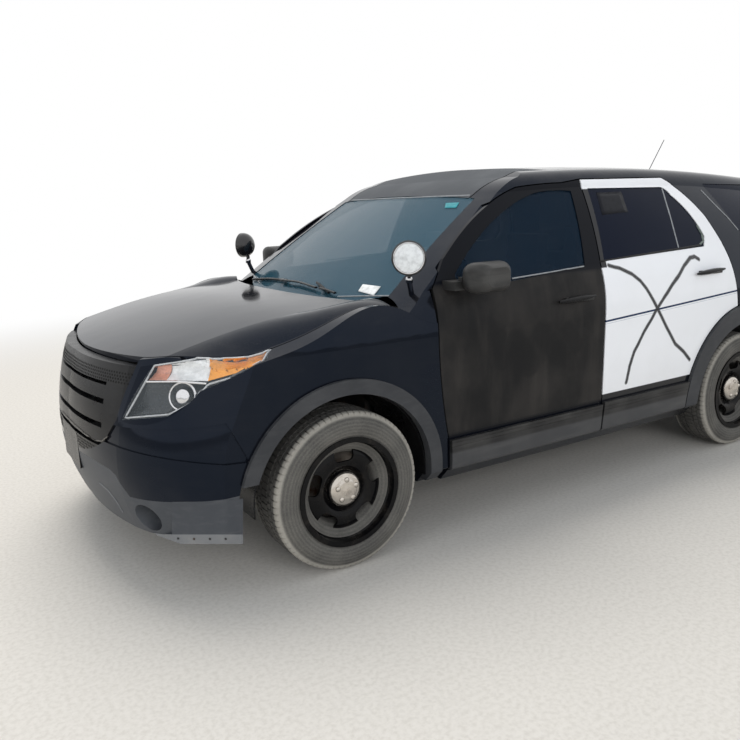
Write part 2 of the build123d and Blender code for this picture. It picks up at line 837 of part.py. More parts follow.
def liftgate():
    """Tailgate with the roof spoiler at its top and its window cut."""
    skin = (GATE_SHAPE - GATE_IN_RIM) & front_prism(GATE_FRONT, tail(-200), GATE_TOP_X)
    core = (GATE_SHAPE - GATE_IN) & front_prism(grow(GATE_FRONT, GATE_RIM), tail(-200), GATE_TOP_X)
    half = skin + core
    half = half & block(tail(-200), GATE_TOP_X, 0, 1000, 400, 1900)
    half = half - front_prism(GATE_GLASS, tail(-200), GATE_TOP_X)
    return half + mirrored(half)


def liftgate_glass():
    zone = front_prism(grow(GATE_GLASS, -SEAT), tail(-200), GATE_TOP_X) & block(tail(-200), 0, 0, 900, 1000, 1700)
    half = (tail_end(GLASS_SET) & zone) - tail_end(GLASS_SET + GLASS)
    return half + mirrored(half)


def tail_lamp():
    return (CAB_OUT - TAIL_IN) & front_prism(LAMP_REAR, tail(-100), tail(290)) - gate_zone(GATE_GAP + 1)


def rear_bumper():
    half = (CAB_OUT - TAIL_IN) & block(tail(-100), aft(-300), 0, 1200, 250, GATE_BOTTOM + 12)
    half = half - ARCH_R_TRIM
    half = half - gate_zone(PANEL_GAP)
    half = half & block(tail(-100), aft(-560), 0, 1200, 250, GATE_BOTTOM + 12)
    pipe = tube((tail(-60), TIP_Y, TIP_Z), (tail(260), TIP_Y, TIP_Z), TIP_RADIUS + TIP_ROOM)
    half = half - pipe
    return half + mirrored(half)


# Chassis

FLOOR_Z = ROCKER_Z
FLOOR_TOP = 312.0
FIREWALL_X = fore(-370)
REAR_RISE_X = aft(440)
REAR_FLOOR_Z = 520.0
RAIL_Y = (400.0, 480.0)
RAIL_Z = (430.0, 530.0)
TOWER_PLATE_Z = 930.0
SCUTTLE_TOP = 1040.0
BONNET_HINGE_X = fore(-263)
BONNET_POST_X = BONNET_HINGE_X + 20
WELL_Y = 556.0
WELL_TOP = 760.0


def floor_pan():
    """Cabin floor, rear riser and load floor, bulkhead and the two engine-bay rails, in one piece."""
    low = block(REAR_RISE_X, FIREWALL_X, 0, ROOF_EDGE_Y, FLOOR_Z, FLOOR_TOP)
    riser = block(REAR_RISE_X - 40, REAR_RISE_X, 0, ROOF_EDGE_Y, FLOOR_Z, REAR_FLOOR_Z + 40)
    load = block(tail(110), REAR_RISE_X, 0, ROOF_EDGE_Y, REAR_FLOOR_Z, REAR_FLOOR_Z + 40)
    bulkhead = block(FIREWALL_X, FIREWALL_X + 30, 0, WELL_Y, FLOOR_Z, 1036)
    bulkhead = bulkhead + block(FIREWALL_X, FIREWALL_X + 30, WELL_Y - 10, 720, WELL_TOP, 1036)
    scuttle = block(FIREWALL_X, FIREWALL_X + 150, 0, 780, 1010, SCUTTLE_TOP)
    hinge = block(FIREWALL_X + 120, BONNET_POST_X + 20, 720, 760, 1010, SCUTTLE_TOP)
    hinge = hinge + (block(BONNET_POST_X, BONNET_POST_X + 20, 720, 760, 1010, 1200) & bonnet(SHEET + SEAT))
    rail = block(FIREWALL_X, nose(210), RAIL_Y[0], RAIL_Y[1], RAIL_Z[0], RAIL_Z[1])
    tower = block(fore(-110), fore(110), 500, 556, RAIL_Z[0], TOWER_PLATE_Z + 30)
    tower = tower + block(fore(-110), fore(110), 500, 720, TOWER_PLATE_Z, TOWER_PLATE_Z + 30)
    link = block(fore(-60), fore(60), RAIL_Y[1] - 10, 510, RAIL_Z[0], RAIL_Z[1])
    beam = block(nose(210), nose(150), 0, 560, RAIL_Z[0], RAIL_Z[1])
    half = low + riser + load + bulkhead + scuttle + hinge + rail + tower + link + beam
    half = half & block(tail(0), NOSE_X, 0, 1200, 200, 1200)
    return half + mirrored(half)


LINER = 6.0


def wheel_liner(axle):
    """Arch liner: a thin half drum over the wheel with a flange inside the opening."""
    outer = across(axle, ROOF_EDGE_Y + 2, 925, TYRE_RADIUS, ARCH_INNER - SEAT)
    inner = across(axle, 550, 930, TYRE_RADIUS, ARCH_INNER - SEAT - LINER)
    ring = (outer - inner) & block(axle - 600, axle + 600, 500, 1000, DOOR_BOTTOM, 900)
    ring = ring - block(axle - 160, axle + 160, 500, 735, 300, 900)
    return ring - block(axle - 600, axle + 600, 500, 735, 200, 440)


def radiator_pack():
    """Radiator in its frame behind the grille."""
    inner = RAIL_Y[0] - SEAT
    core = block(nose(330), nose(270), -360, 360, 470, 900)
    frame = block(nose(336), nose(264), -inner, inner, 440, 920) - block(nose(400), nose(200), -356, 356, 474, 896)
    return core + frame


ENGINE_X = (fore(-150), fore(420))
ENGINE_Y = 330.0
ENGINE_Z = (400.0, 880.0)


def engine():
    """One plain block with its two mounting arms on the rails."""
    arms = block(fore(80), fore(180), -RAIL_Y[0] + SEAT, RAIL_Y[0] - SEAT, RAIL_Z[0] + 20, RAIL_Z[1] - 20)
    return block(*ENGINE_X, -ENGINE_Y, ENGINE_Y, *ENGINE_Z) + arms


def profile_across(outline, y0, y1):
    """A piece of one (x, z) profile between two places across the car."""
    return side_prism(outline, y0, y1)


STEERING_PLACE = (fore(-835), 390.0, 985.0)
STEERING_TILT = 25.0
STEERING_RADIUS = 185.0
BOSS_DEPTH = 44.0
COLUMN_END = 62.0
SHROUD_RADIUS = 40.0
SHROUD_LENGTH = 150.0


def on_column(shape):
    """Turns a shape made about +Z into the place and tilt of the steering column."""
    return Pos(*STEERING_PLACE) * Rot(0, -90 + STEERING_TILT, 0) * shape


def dashboard():
    """Dashboard with the centre console and the shroud of the steering column."""
    profile = [
        (FIREWALL_X - SEAT, 1030),
        (FIREWALL_X - SEAT, 720),
        (fore(-560), 640),
        (fore(-640), 700),
        ((fore(-700), 830), (fore(-690), 960)),
        (fore(-640), 1046),
        ((fore(-560), 1064), (fore(-420), 1050)),
    ]
    dash = profile_across(profile, -780, 780)
    console = block(fore(-1250), fore(-560), -110, 110, FLOOR_TOP + SEAT, 660)
    far, near = COLUMN_END + SHROUD_LENGTH, COLUMN_END + SEAT
    shroud = on_column(Pos(0, 0, -(far + near) / 2) * Cylinder(SHROUD_RADIUS, far - near))
    return dash + console + shroud


SEATS = [
    (fore(-1180), 390.0, 500.0),
    (fore(-1180), -390.0, 500.0),
]
BENCH_X = aft(780)


def seat(x, y, width):
    """Seat with cushion, back and head restraint, standing on its frame."""
    half = width / 2
    cushion = profile_across([
        (x - 230, 560), (x + 280, 590), ((x + 310, 630), (x + 280, 670)), (x - 180, 640), (x - 240, 640),
    ], y - half, y + half)
    back = profile_across([
        (x - 180, 600), (x - 330, 1180), ((x - 370, 1210), (x - 410, 1190)), (x - 330, 560), (x - 200, 560),
    ], y - half, y + half)
    head = block(x - 440, x - 350, y - 130, y + 130, 1215, 1380)
    posts = block(x - 400, x - 386, y - 70, y - 56, 1180, 1220) + block(x - 400, x - 386, y + 56, y + 70, 1180, 1220)
    frame = block(x - 200, x + 240, y - half + 40, y + half - 40, FLOOR_TOP, 575)
    return cushion + back + head + posts + frame


def front_seat(side):
    return seat(SEATS[0][0], side * SEATS[0][1], SEATS[0][2])


def rear_bench():
    bench = seat(BENCH_X, 0, 1180)
    return bench


def steering_wheel():
    """Rim, three spokes, boss and column stub, turning about the tilted column."""
    rim = Torus(STEERING_RADIUS, 15)
    boss = Cylinder(62, BOSS_DEPTH)
    spokes = Box(34, 2 * STEERING_RADIUS - 16, 18) + Pos(-STEERING_RADIUS / 2, 0, 0) * Box(STEERING_RADIUS - 8, 34, 18)
    column = Pos(0, 0, -COLUMN_END / 2) * Cylinder(22, COLUMN_END)
    return on_column(rim + boss + spokes + column)


# Wheels

HUB_BORE = 35.0
TYRE_OUTER_Y = HALF_TRACK + TYRE_WIDTH / 2
RIM_SEAT = 229.0
RIM_LIP = RIM_RADIUS
SLOTS = 5
SLOT_RADIUS = 158.0


def axial(outline, axle):
    """A solid of revolution about the wheel's axis from (y, r) corners."""
    def lift(p):
        if isinstance(p[0], tuple):
            return (at(0, p[0][0], p[0][1]), at(0, p[1][0], p[1][1]))
        return at(0, p[0], p[1])
    solid = revolve(chain([lift(p) for p in outline]), Axis((0, 0, 0), (0, 1, 0)), 360)
    return solid.moved(Location((axle, 0, TYRE_RADIUS)))


def tyre(axle):
    """Tyre with a rounded shoulder and bulged walls, open at its bead."""
    y0 = HALF_TRACK - TYRE_WIDTH / 2
    y1 = HALF_TRACK + TYRE_WIDTH / 2
    crown = TYRE_RADIUS
    bead = RIM_SEAT + SEAT
    return axial([
        (y0 + 22, bead),
        ((y0 - 2, crown - 62), (y0 + 14, crown - 22)),
        ((y0 + 20, crown - 6), (y0 + 40, crown - 2)),
        ((HALF_TRACK, crown), (y1 - 40, crown - 2)),
        ((y1 - 20, crown - 6), (y1 - 14, crown - 22)),
        ((y1 + 2, crown - 62), (y1 - 22, bead)),
        (y1 - 34, bead),
        ((HALF_TRACK, crown - 26), (y0 + 34, bead)),
    ], axle)


def wheel(axle):
    """Steel wheel: barrel, dished disc with five slots, domed cap with five nut bumps, and the brake disc."""
    y0 = HALF_TRACK - TYRE_WIDTH / 2 + 1
    y1 = HALF_TRACK + TYRE_WIDTH / 2 - 1
    barrel = axial([
        (y0, RIM_LIP), (y0 + 6, RIM_LIP), (y0 + 10, RIM_SEAT), (y0 + 40, RIM_SEAT - 2), (y0 + 62, RIM_SEAT - 22),
        (y1 - 62, RIM_SEAT - 22), (y1 - 36, RIM_SEAT - 2), (y1 - 10, RIM_SEAT), (y1 - 6, RIM_LIP),
        (y1, RIM_LIP), (y1, RIM_SEAT - 5), (y1 - 30, RIM_SEAT - 9), (y1 - 58, RIM_SEAT - 29),
        (y0 + 66, RIM_SEAT - 29), (y0 + 42, RIM_SEAT - 9), (y0, RIM_SEAT - 7),
    ], axle)
    face = TYRE_OUTER_Y - 48
    disc = axial([
        (face - 34, HUB_BORE), (face - 34, 84), (face - 12, 104), ((face - 2, 150), (face - 22, 196)),
        (face - 40, RIM_SEAT - 26), (face - 52, RIM_SEAT - 26), (face - 34, 190), ((face - 14, 150), (face - 24, 108)),
        (face - 46, 88), (face - 46, HUB_BORE),
    ], axle)
    for k in range(SLOTS):
        turn = 90 + 360 / SLOTS * k
        slot = Rot(90, 0, 0) * extrude(Pos(SLOT_RADIUS, 0, 0) * RectangleRounded(62, 96, 26), 60, both=True)
        slot = Rot(0, -turn, 0) * slot
        disc = disc - slot.moved(Location((axle, face - 20, TYRE_RADIUS)))
    cap = axial([
        (face - 40, 0), (face - 40, 80), (face - 30, 82), ((face - 4, 76), (face + 6, 62)),
        ((face + 13, 36), (face + 16, 8)), (face + 16, 0),
    ], axle)
    rotor = axial([
        (HALF_TRACK - 20, 0), (HALF_TRACK - 20, 80), (HALF_TRACK - 44, 90), (HALF_TRACK - 44, 172),
        (HALF_TRACK - 70, 172), (HALF_TRACK - 70, 90), (HALF_TRACK - 50, 70), (HALF_TRACK - 50, 0),
    ], axle)
    hub = axial([(HALF_TRACK - 30, 0), (HALF_TRACK - 30, 55), (face - 24, 55), (face - 24, 0)], axle)
    return barrel + disc + cap + rotor + hub


# Suspension

KINGPIN_LOW = (AXLE_F, 748.0, 200.0)
KINGPIN_HIGH = (AXLE_F, 620.0, 950.0)
ARM_BALL = 24.0
STRUT_RADIUS = 30.0
STRUT_TOP_RADIUS = 62.0


KINGPIN_RISE = (KINGPIN_HIGH[2] - KINGPIN_LOW[2]) / math.dist(KINGPIN_LOW, KINGPIN_HIGH)
BALL_Z = 196.0
NECK_RISE = 46.0
STRUT_TOP_Z = 800.0


def kingpin(z):
    """The point of the steering axis at height z."""
    t = (z - KINGPIN_LOW[2]) / (KINGPIN_HIGH[2] - KINGPIN_LOW[2])
    return tuple(a + (b - a) * t for a, b in zip(KINGPIN_LOW, KINGPIN_HIGH))


def knuckle():
    """Steering knuckle with its strut tube, both turning about the steering axis, and the wheel's stub axle."""
    strut = tube(kingpin(460), kingpin(STRUT_TOP_Z - SEAT), STRUT_RADIUS)
    neck = tube(kingpin(BALL_Z + (ARM_BALL + SEAT) * KINGPIN_RISE), kingpin(BALL_Z + NECK_RISE + 4), 9)
    upright = neck + tube(kingpin(BALL_Z + NECK_RISE), kingpin(480), 26)
    carrier = block(AXLE_F - 60, AXLE_F + 60, 704, 764, TYRE_RADIUS - 70, TYRE_RADIUS + 70)
    stub = across(AXLE_F, 700, HALF_TRACK - 50 - SEAT, TYRE_RADIUS, 34)
    bridge = block(AXLE_F - 130, AXLE_F - 40, 740, 770, TYRE_RADIUS - 40, TYRE_RADIUS + 40)
    return strut + upright + carrier + stub + bridge


def front_suspension():
    """Crossmember and lower arms, with the two strut mountings under their towers."""
    member = block(fore(-190), fore(150), 0, 430, 210, 270)
    post = block(fore(-60), fore(60), RAIL_Y[0], 430, 210, RAIL_Z[0] - SEAT)
    arms = tube((fore(-130), 400, 232), kingpin(BALL_Z), 20) + tube((fore(90), 400, 232), kingpin(BALL_Z), 20)
    ball = Pos(*kingpin(BALL_Z)) * Sphere(ARM_BALL)
    frame = member + post + arms + ball
    frame = frame & block(fore(-400), fore(400), 0, 900, 150, 1000)
    top = tube(kingpin(STRUT_TOP_Z), kingpin(TOWER_PLATE_Z + 20), STRUT_TOP_RADIUS)
    top = top & block(fore(-100), fore(100), 0, 900, 700, TOWER_PLATE_Z - SEAT)
    return Compound(children=[frame + mirrored(frame), top, mirrored(top)])


def rear_suspension():
    """Rear crossmember, links and the carriers that hold the rear wheels."""
    member = block(aft(-150), aft(150), 0, 430, 300, 380)
    post = block(aft(-60), aft(60), 360, 430, 380, REAR_FLOOR_Z - SEAT)
    lower = tube((AXLE_R - 60, 400, 330), (AXLE_R - 30, 740, 270), 22)
    upper = tube((AXLE_R + 60, 400, 360), (AXLE_R + 30, 730, 430), 18)
    seat_x = REAR_RISE_X - 40 - SEAT
    trailing = tube((AXLE_R + 20, 720, TYRE_RADIUS - 20), (seat_x - 30, 560, 330), 24)
    bracket = block(seat_x - 50, seat_x, 520, 598, 300, 360)
    carrier = block(AXLE_R - 60, AXLE_R + 60, 704, 764, TYRE_RADIUS - 90, TYRE_RADIUS + 90)
    stub = across(AXLE_R, 700, HALF_TRACK - 50 - SEAT, TYRE_RADIUS, 34)
    damper = tube((AXLE_R + 30, 690, TYRE_RADIUS + 60), (AXLE_R + 30, 560, REAR_FLOOR_Z + 2), 26)
    half = member + post + lower + upper + trailing + bracket + carrier + stub + damper
    half = half & block(aft(-600), aft(800), 0, 900, 150, REAR_FLOOR_Z - SEAT)
    return half + mirrored(half)


PIPE_RADIUS = 26.0
PIPE_Y = 120.0
PIPE_LOW = FLOOR_Z - SEAT - PIPE_RADIUS
PIPE_HIGH = 450.0
SILENCER_X = (tail(360), tail(620))
TIP_Y = 430.0
TIP_Z = 352.0
TIP_RADIUS = 32.0
TIP_ROOM = 10.0


def fuel_tank():
    tank = block(aft(520), aft(1250), -430, -30, 212, FLOOR_Z - SEAT)
    return fillet(tank.edges().filter_by(Axis.Z), 60)


def exhaust():
    """Pipe from the engine under the floor and over the rear crossmember to a cross silencer with two tips."""
    route = [
        (ENGINE_X[0] - SEAT, PIPE_Y, PIPE_HIGH),
        (fore(-235), PIPE_Y, PIPE_HIGH),
        (fore(-235), PIPE_Y, PIPE_LOW),
        (REAR_RISE_X - 95, PIPE_Y, PIPE_LOW),
        (REAR_RISE_X - 95, PIPE_Y, PIPE_HIGH),
        (SILENCER_X[1] - 20, PIPE_Y, PIPE_HIGH),
    ]
    pipe = tube(route[0], route[1], PIPE_RADIUS)
    for a, b in zip(route[1:], route[2:]):
        pipe = pipe + Pos(*a) * Sphere(PIPE_RADIUS) + tube(a, b, PIPE_RADIUS)
    silencer = block(*SILENCER_X, -500, 500, 390, REAR_FLOOR_Z - SEAT)
    silencer = fillet(silencer.edges().filter_by(Axis.Y), 40)
    for side in (-1, 1):
        elbow = (SILENCER_X[0] - 40, side * TIP_Y, TIP_Z)
        drop = tube((SILENCER_X[0] + 40, side * TIP_Y, 440), elbow, TIP_RADIUS - 6)
        tip = tube(elbow, (tail(55), side * TIP_Y, TIP_Z), TIP_RADIUS)
        silencer = silencer + drop + tip
    return pipe + silencer


# Spotlights

SPOT_PLACE = (fore(-391), 881.0, 1337.0)
SPOT_RADIUS = 76.0
SPOT_DEPTH = 74.0
SPOT_AIM = 55.0
FOOT_DROP = 16.0


def spotlight():
    """Round lamp: a turned bowl with its rim, and the foot that turns with it."""
    bowl = revolve(chain([
        at(0, 0, 0), at(SPOT_DEPTH * 0.5, 0, 0), at(SPOT_DEPTH * 0.5, 0, SPOT_RADIUS),
        at(SPOT_DEPTH * 0.3, 0, SPOT_RADIUS),
        (at(-SPOT_DEPTH * 0.2, 0, SPOT_RADIUS * 0.8), at(-SPOT_DEPTH * 0.5, 0, 0)),
    ]), Axis((0, 0, 0), (1, 0, 0)), 360)
    foot = Pos(0, 0, -SPOT_RADIUS - FOOT_DROP / 2 + 4) * Cylinder(11, FOOT_DROP + 8)
    return Pos(*SPOT_PLACE) * Rot(0, 0, SPOT_AIM) * (bowl + foot)


def spot_bracket():
    """Socket under the spotlight's foot, on a short arm that stands on the pillar."""
    x, y, z = SPOT_PLACE
    z_foot = z - SPOT_RADIUS - FOOT_DROP
    socket = Pos(x, y, z_foot - SEAT - 10) * Cylinder(16, 20)
    return socket + tube((x, y, z_foot - 14), (x - 26, y - 16, z_foot - 90), 12)


PARTS = {}


def pair(name, shape):
    """A left piece and its mirror image as two nodes."""
    PARTS[name + "_left"] = shape
    PARTS[name + "_right"] = mirrored(shape)


def both(shape):
    """Like pieces of both sides as one node."""
    return Compound(children=shape.solids() + mirrored(shape).solids())


def build_body():
    pair("body_side", body_side())
    PARTS["roof_panel"] = roof_panel()
    PARTS["windscreen"] = windscreen()
    PARTS["quarter_glasses"] = both(pane(quarter_glass_outline(), SEAT))
    pair("front_fender", front_fender())
    PARTS["front_bumper"] = front_bumper()
    PARTS["front_valance"] = front_valance()
    PARTS["plate_bracket"] = plate_bracket()
    PARTS["grille"] = grille()
    PARTS["headlamps"] = both(headlamp())
    PARTS["arch_trims"] = both(arch_trim_front() + arch_trim_rear())
    PARTS["rear_bumper"] = rear_bumper()
    PARTS["tail_lamps"] = both(tail_lamp())
    PARTS["cowl"] = cowl()


def build_doors():
    for name, outline, glass, handle_at, z_top in (
        ("front_door", front_door_outline(), front_glass_outline(), (aft(1492), 1072), 484),
        ("rear_door", rear_door_outline(), rear_glass_outline(), (aft(387), 1127), 494),
    ):
        hole = side_prism(glass, 500)
        pair(name, door(outline) - hole)
        pair(name + "_glass", pane(glass, SEAT))
        trim = door_trim(outline, z_top) + (handle(*handle_at) - VAN_SKIN)
        if name == "front_door":
            trim = trim + (mirror_shell() - VAN_SKIN)
        pair(name + "_trim", trim)
    PARTS["bonnet"] = bonnet_panel()
    PARTS["liftgate"] = liftgate()
    PARTS["liftgate_glass"] = liftgate_glass()


def build_chassis():
    PARTS["floor_pan"] = floor_pan()
    PARTS["engine"] = engine()
    PARTS["radiator"] = radiator_pack()
    PARTS["dashboard"] = dashboard()
    PARTS["front_seats"] = Compound(children=[front_seat(1), front_seat(-1)])
    PARTS["rear_bench"] = rear_bench()
    PARTS["fuel_tank"] = fuel_tank()
    PARTS["exhaust"] = exhaust()
    PARTS["front_suspension"] = front_suspension()
    PARTS["rear_suspension"] = rear_suspension()
    PARTS["wheel_liners"] = both(Compound(children=[wheel_liner(AXLE_F), wheel_liner(AXLE_R)]))
    pair("knuckle", knuckle())
    PARTS["steering_wheel"] = steering_wheel()


def build_wheels():
    for name, axle in (("front", AXLE_F), ("rear", AXLE_R)):
        pair("tyre_" + name, tyre(axle))
        pair("wheel_" + name, wheel(axle))
    pair("spotlight", spotlight())


def main():
    build_body()
    build_doors()
    build_chassis()
    build_wheels()
    os.makedirs("parts", exist_ok=True)
    for name, shape in PARTS.items():
        export_step(shape, "parts/" + name + ".step")


if __name__ == "__main__":
    main()
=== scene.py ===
import bpy
import bmesh
import math
from mathutils import Matrix, Vector
from mathutils.bvhtree import BVHTree


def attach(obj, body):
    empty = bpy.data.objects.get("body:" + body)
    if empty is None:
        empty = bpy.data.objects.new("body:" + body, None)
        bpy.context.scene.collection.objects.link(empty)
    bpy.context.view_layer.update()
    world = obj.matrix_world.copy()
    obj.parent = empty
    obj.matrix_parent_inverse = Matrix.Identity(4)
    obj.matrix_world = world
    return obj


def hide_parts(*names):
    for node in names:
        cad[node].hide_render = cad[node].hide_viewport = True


# The patrol estate stands on z = 0 with its nose towards +x and its left side towards +y, in metres.

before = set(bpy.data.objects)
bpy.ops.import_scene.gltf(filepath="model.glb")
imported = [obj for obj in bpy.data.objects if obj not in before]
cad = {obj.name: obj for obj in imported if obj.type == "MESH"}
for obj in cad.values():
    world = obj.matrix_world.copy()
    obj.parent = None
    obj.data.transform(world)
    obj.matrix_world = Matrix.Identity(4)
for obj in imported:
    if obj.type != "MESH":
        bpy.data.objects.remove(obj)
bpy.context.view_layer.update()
SIDES = (("left", 1), ("right", -1))
FRONT_AXLE = 1.563
REAR_AXLE = -1.297
HALF_TRACK = 0.851
WHEEL_Z = 0.358
TYRE_RADIUS = 0.358
RIM_RADIUS = 0.2293

# The photograph's camera, fitted to the wheels, door lines and lamps: sizes in pixels, angles in degrees
PICTURE = 740
FOCAL = 750.29
VIEWPOINT = (3.107, 3.601, 1.579)
YAW, PITCH, ROLL = -122.24, -12.597, -1.724


# Shader maths: a Value is a socket of a Finish, and arithmetic on it adds its Math nodes

class Value:
    def __init__(self, finish, socket):
        self.finish = finish
        self.socket = socket

    def math(self, operation, *others):
        return self.finish.add("ShaderNodeMath", {"operation": operation}, dict(enumerate((self,) + others)))

    def __add__(self, other):
        return self.math("ADD", other)

    __radd__ = __add__

    def __mul__(self, other):
        return self.math("MULTIPLY", other)

    __rmul__ = __mul__

    def __sub__(self, other):
        return self.math("SUBTRACT", other)

    def __rsub__(self, other):
        return self.finish.add("ShaderNodeMath", {"operation": "SUBTRACT"}, {0: other, 1: self})

    def __truediv__(self, other):
        return self.math("DIVIDE", other)

    def __abs__(self):
        return self.math("ABSOLUTE")

    def most(self, other):
        return self.math("MAXIMUM", other)

    def least(self, other):
        return self.math("MINIMUM", other)

    def sine(self):
        return self.math("SINE")

    def root(self):
        return self.math("SQRT")

    def rise(self, low, high):
        """0 below low, 1 above high and smooth between; high below low makes a fall."""
        return self.finish.add("ShaderNodeMapRange", {"interpolation_type": "SMOOTHSTEP", "clamp": True},
                               {0: self, 1: low, 2: high, 3: 0.0, 4: 1.0})

    def between(self, low, high, edge):
        return self.rise(low - edge, low + edge) * self.rise(high + edge, high - edge)


class Finish:
    """A material with one Principled shader; its keyword values are the shader's sockets."""

    def __init__(self, name, **sockets):
        self.material = bpy.data.materials.new(name)
        self.material.use_nodes = True
        self.tree = self.material.node_tree
        self.tree.nodes.clear()
        self.shader = self.tree.nodes.new("ShaderNodeBsdfPrincipled")
        self.output = self.tree.nodes.new("ShaderNodeOutputMaterial")
        self.tree.links.new(self.shader.outputs[0], self.output.inputs[0])
        self.set(**sockets)
        self.object = self.add("ShaderNodeTexCoord", {}, {}, "Object")
        self.x, self.y, self.z = self.parts(self.object)

    def feed(self, socket, value):
        if isinstance(value, Value):
            self.tree.links.new(value.socket, socket)
        elif socket.type == "RGBA" and len(value) == 3:
            socket.default_value = (*value, 1)
        else:
            socket.default_value = value

    def set(self, **sockets):
        for name, value in sockets.items():
            self.feed(self.shader.inputs[name.replace("_", " ")], value)

    def add(self, kind, settings, inputs, output=0):
        node = self.tree.nodes.new(kind)
        for name, value in settings.items():
            setattr(node, name, value)
        for name, value in inputs.items():
            self.feed(node.inputs[name], value)
        return Value(self, node.outputs[output])

    def parts(self, vector):
        node = self.add("ShaderNodeSeparateXYZ", {}, {0: vector})
        return [Value(self, node.socket.node.outputs[k]) for k in range(3)]

    def upward(self):
        """1 on faces that look up, 0 on faces that look down."""
        return self.parts(self.add("ShaderNodeNewGeometry", {}, {}, "Normal"))[2]

    def noise(self, scale, detail, stretch=(1, 1, 1)):
        place = self.add("ShaderNodeMapping", {}, {"Vector": self.object, "Scale": stretch})
        return self.add("ShaderNodeTexNoise", {}, {"Vector": place, "Scale": scale, "Detail": detail,
                                                   "Roughness": 0.55})

    def blend(self, factor, low, high):
        return self.add("ShaderNodeMix", {"data_type": "RGBA"}, {0: factor, 6: low, 7: high}, 2)

    def bump(self, height, strength, distance):
        self.set(Normal=self.add("ShaderNodeBump", {}, {"Height": height, "Strength": strength,
                                                        "Distance": distance}))

    def stroke(self, start, end, width, soft):
        """1 along a straight stroke on the car's side between two (x, z) places."""
        dx, dz = end[0] - start[0], end[1] - start[1]
        length = dx * dx + dz * dz
        along = ((self.x - start[0]) * dx + (self.z - start[1]) * dz) / length
        along = along.most(0.0).least(1.0)
        off_x = self.x - (along * dx + start[0])
        off_z = self.z - (along * dz + start[1])
        return (off_x * off_x + off_z * off_z).root().rise(width + soft, width)

    def strokes(self, lines):
        """1 on any of several strokes."""
        marks = self.stroke(*lines[0])
        for line in lines[1:]:
            marks = marks.most(self.stroke(*line))
        return marks


# Finishes

DUST = (0.30, 0.27, 0.23)
BLACK = (0.004, 0.005, 0.008)
BARE_GREY = (0.055, 0.060, 0.068)
# A blue tint on the reflections of paint and lamp cover: a painted sky reflection
SKY_TINT = (0.52, 0.68, 1.0)


def black_paint(name, roof=False, moulded=None):
    """Glossy black with dust that settles on faces that look up, and thin wipe marks.

    A roof is bluish grey on its upward faces ahead of its middle, and a bumper is bare grey below the height
    moulded.
    """
    # SKY_TINT on the reflections is a painted sky reflection
    f = Finish(name, Specular_IOR_Level=0.24, Specular_Tint=SKY_TINT, IOR=1.5)
    patches = f.noise(2.6, 5.0).rise(0.40, 0.72)
    grains = f.noise(190.0, 2.0).rise(0.45, 0.8)
    marks = f.noise(7.0, 4.0, (1, 1, 5)).rise(0.5, 0.75)
    lying = f.upward().rise(0.1, 0.95)
    cover = (patches * 0.5 + grains * 0.25 + marks * 0.2) * (lying * 0.8 + 0.25) * 0.09
    low = f.z.rise(0.62, 0.28) * 0.05
    cover = cover + low * patches
    colour = f.blend(cover, BLACK, DUST)
    if roof:
        top = f.x.rise(0.02, 0.12) * f.upward().rise(0.5, 0.9)
        colour = f.blend(top * (0.72 + patches * 0.25), colour, (0.12, 0.125, 0.13))
        cover = cover + top * 0.6
    if moulded:
        low = f.z.rise(moulded + 0.001, moulded - 0.001)
        colour = f.blend(low, colour, BARE_GREY)
        cover = cover + low * 0.3
    f.set(Base_Color=colour, Roughness=cover * 1.4 + 0.07)
    f.bump(f.noise(5.0, 2.0), 0.10, 0.004)
    return f.material


# Strokes where decals were taken off the door: two (x, z) places, a width and a soft edge
DECAL_GHOSTS = (
    ((0.33, 0.80), (0.45, 0.93), 0.04, 0.035),
    ((0.52, 0.78), (0.62, 0.90), 0.05, 0.03),
    ((0.70, 0.82), (0.72, 0.93), 0.035, 0.03),
    ((0.20, 0.84), (0.26, 0.92), 0.03, 0.03),
)


def faded_door():
    """The left front door: matt dusty brown-black with patches where decals were taken off."""
    f = Finish("faded_door_paint", Specular_IOR_Level=0.10)
    cloud = f.noise(3.2, 5.0).rise(0.35, 0.72)
    streak = f.noise(9.0, 4.0, (1.2, 1, 0.25)).rise(0.42, 0.75)
    ghosts = f.strokes(DECAL_GHOSTS)
    glossy = f.z.rise(1.19, 1.22).most(f.z.rise(0.52, 0.49))
    cover = (cloud * 0.55 + streak * 0.4) * (1 - ghosts * 0.6) * (1 - glossy)
    colour = f.blend(cover, (0.0125, 0.0125, 0.013), (0.043, 0.039, 0.036))
    colour = f.blend(glossy, colour, BLACK)
    f.set(Base_Color=colour, Roughness=0.42 - glossy * 0.3 + cover * 0.12)
    f.bump(f.noise(120.0, 3.0), 0.05, 0.001)
    return f.material


# Pixels of the left rear door: both ends of its stripe and the two lines of the sprayed cross
STRIPE_AHEAD, STRIPE_BEHIND = (607, 321.2), (731, 292.0)
FALLING_LINE = ((608.8, 265.5), (620, 268.5), (632.2, 274.3), (640.5, 281), (646.5, 288.6), (651.5, 297),
                (658.8, 311), (666.5, 327), (675.1, 343.7), (683.5, 351.5), (689.5, 359.5))
CLIMBING_LINE = ((698.6, 259), (694.5, 256.5), (690.4, 258), (684.3, 266), (673, 284.5), (656.7, 309),
                 (644.5, 331.4), (634.3, 351.8), (629.5, 366), (626.1, 382.4))


def sprayed_line(tree, pixels, width):
    """Strokes of a sprayed line along pixels of the left rear door."""
    places = [seat(tree, u, v) for u, v in pixels]
    return [((p.x, p.z), (q.x, q.z), width, 0.010) for p, q in zip(places, places[1:])]


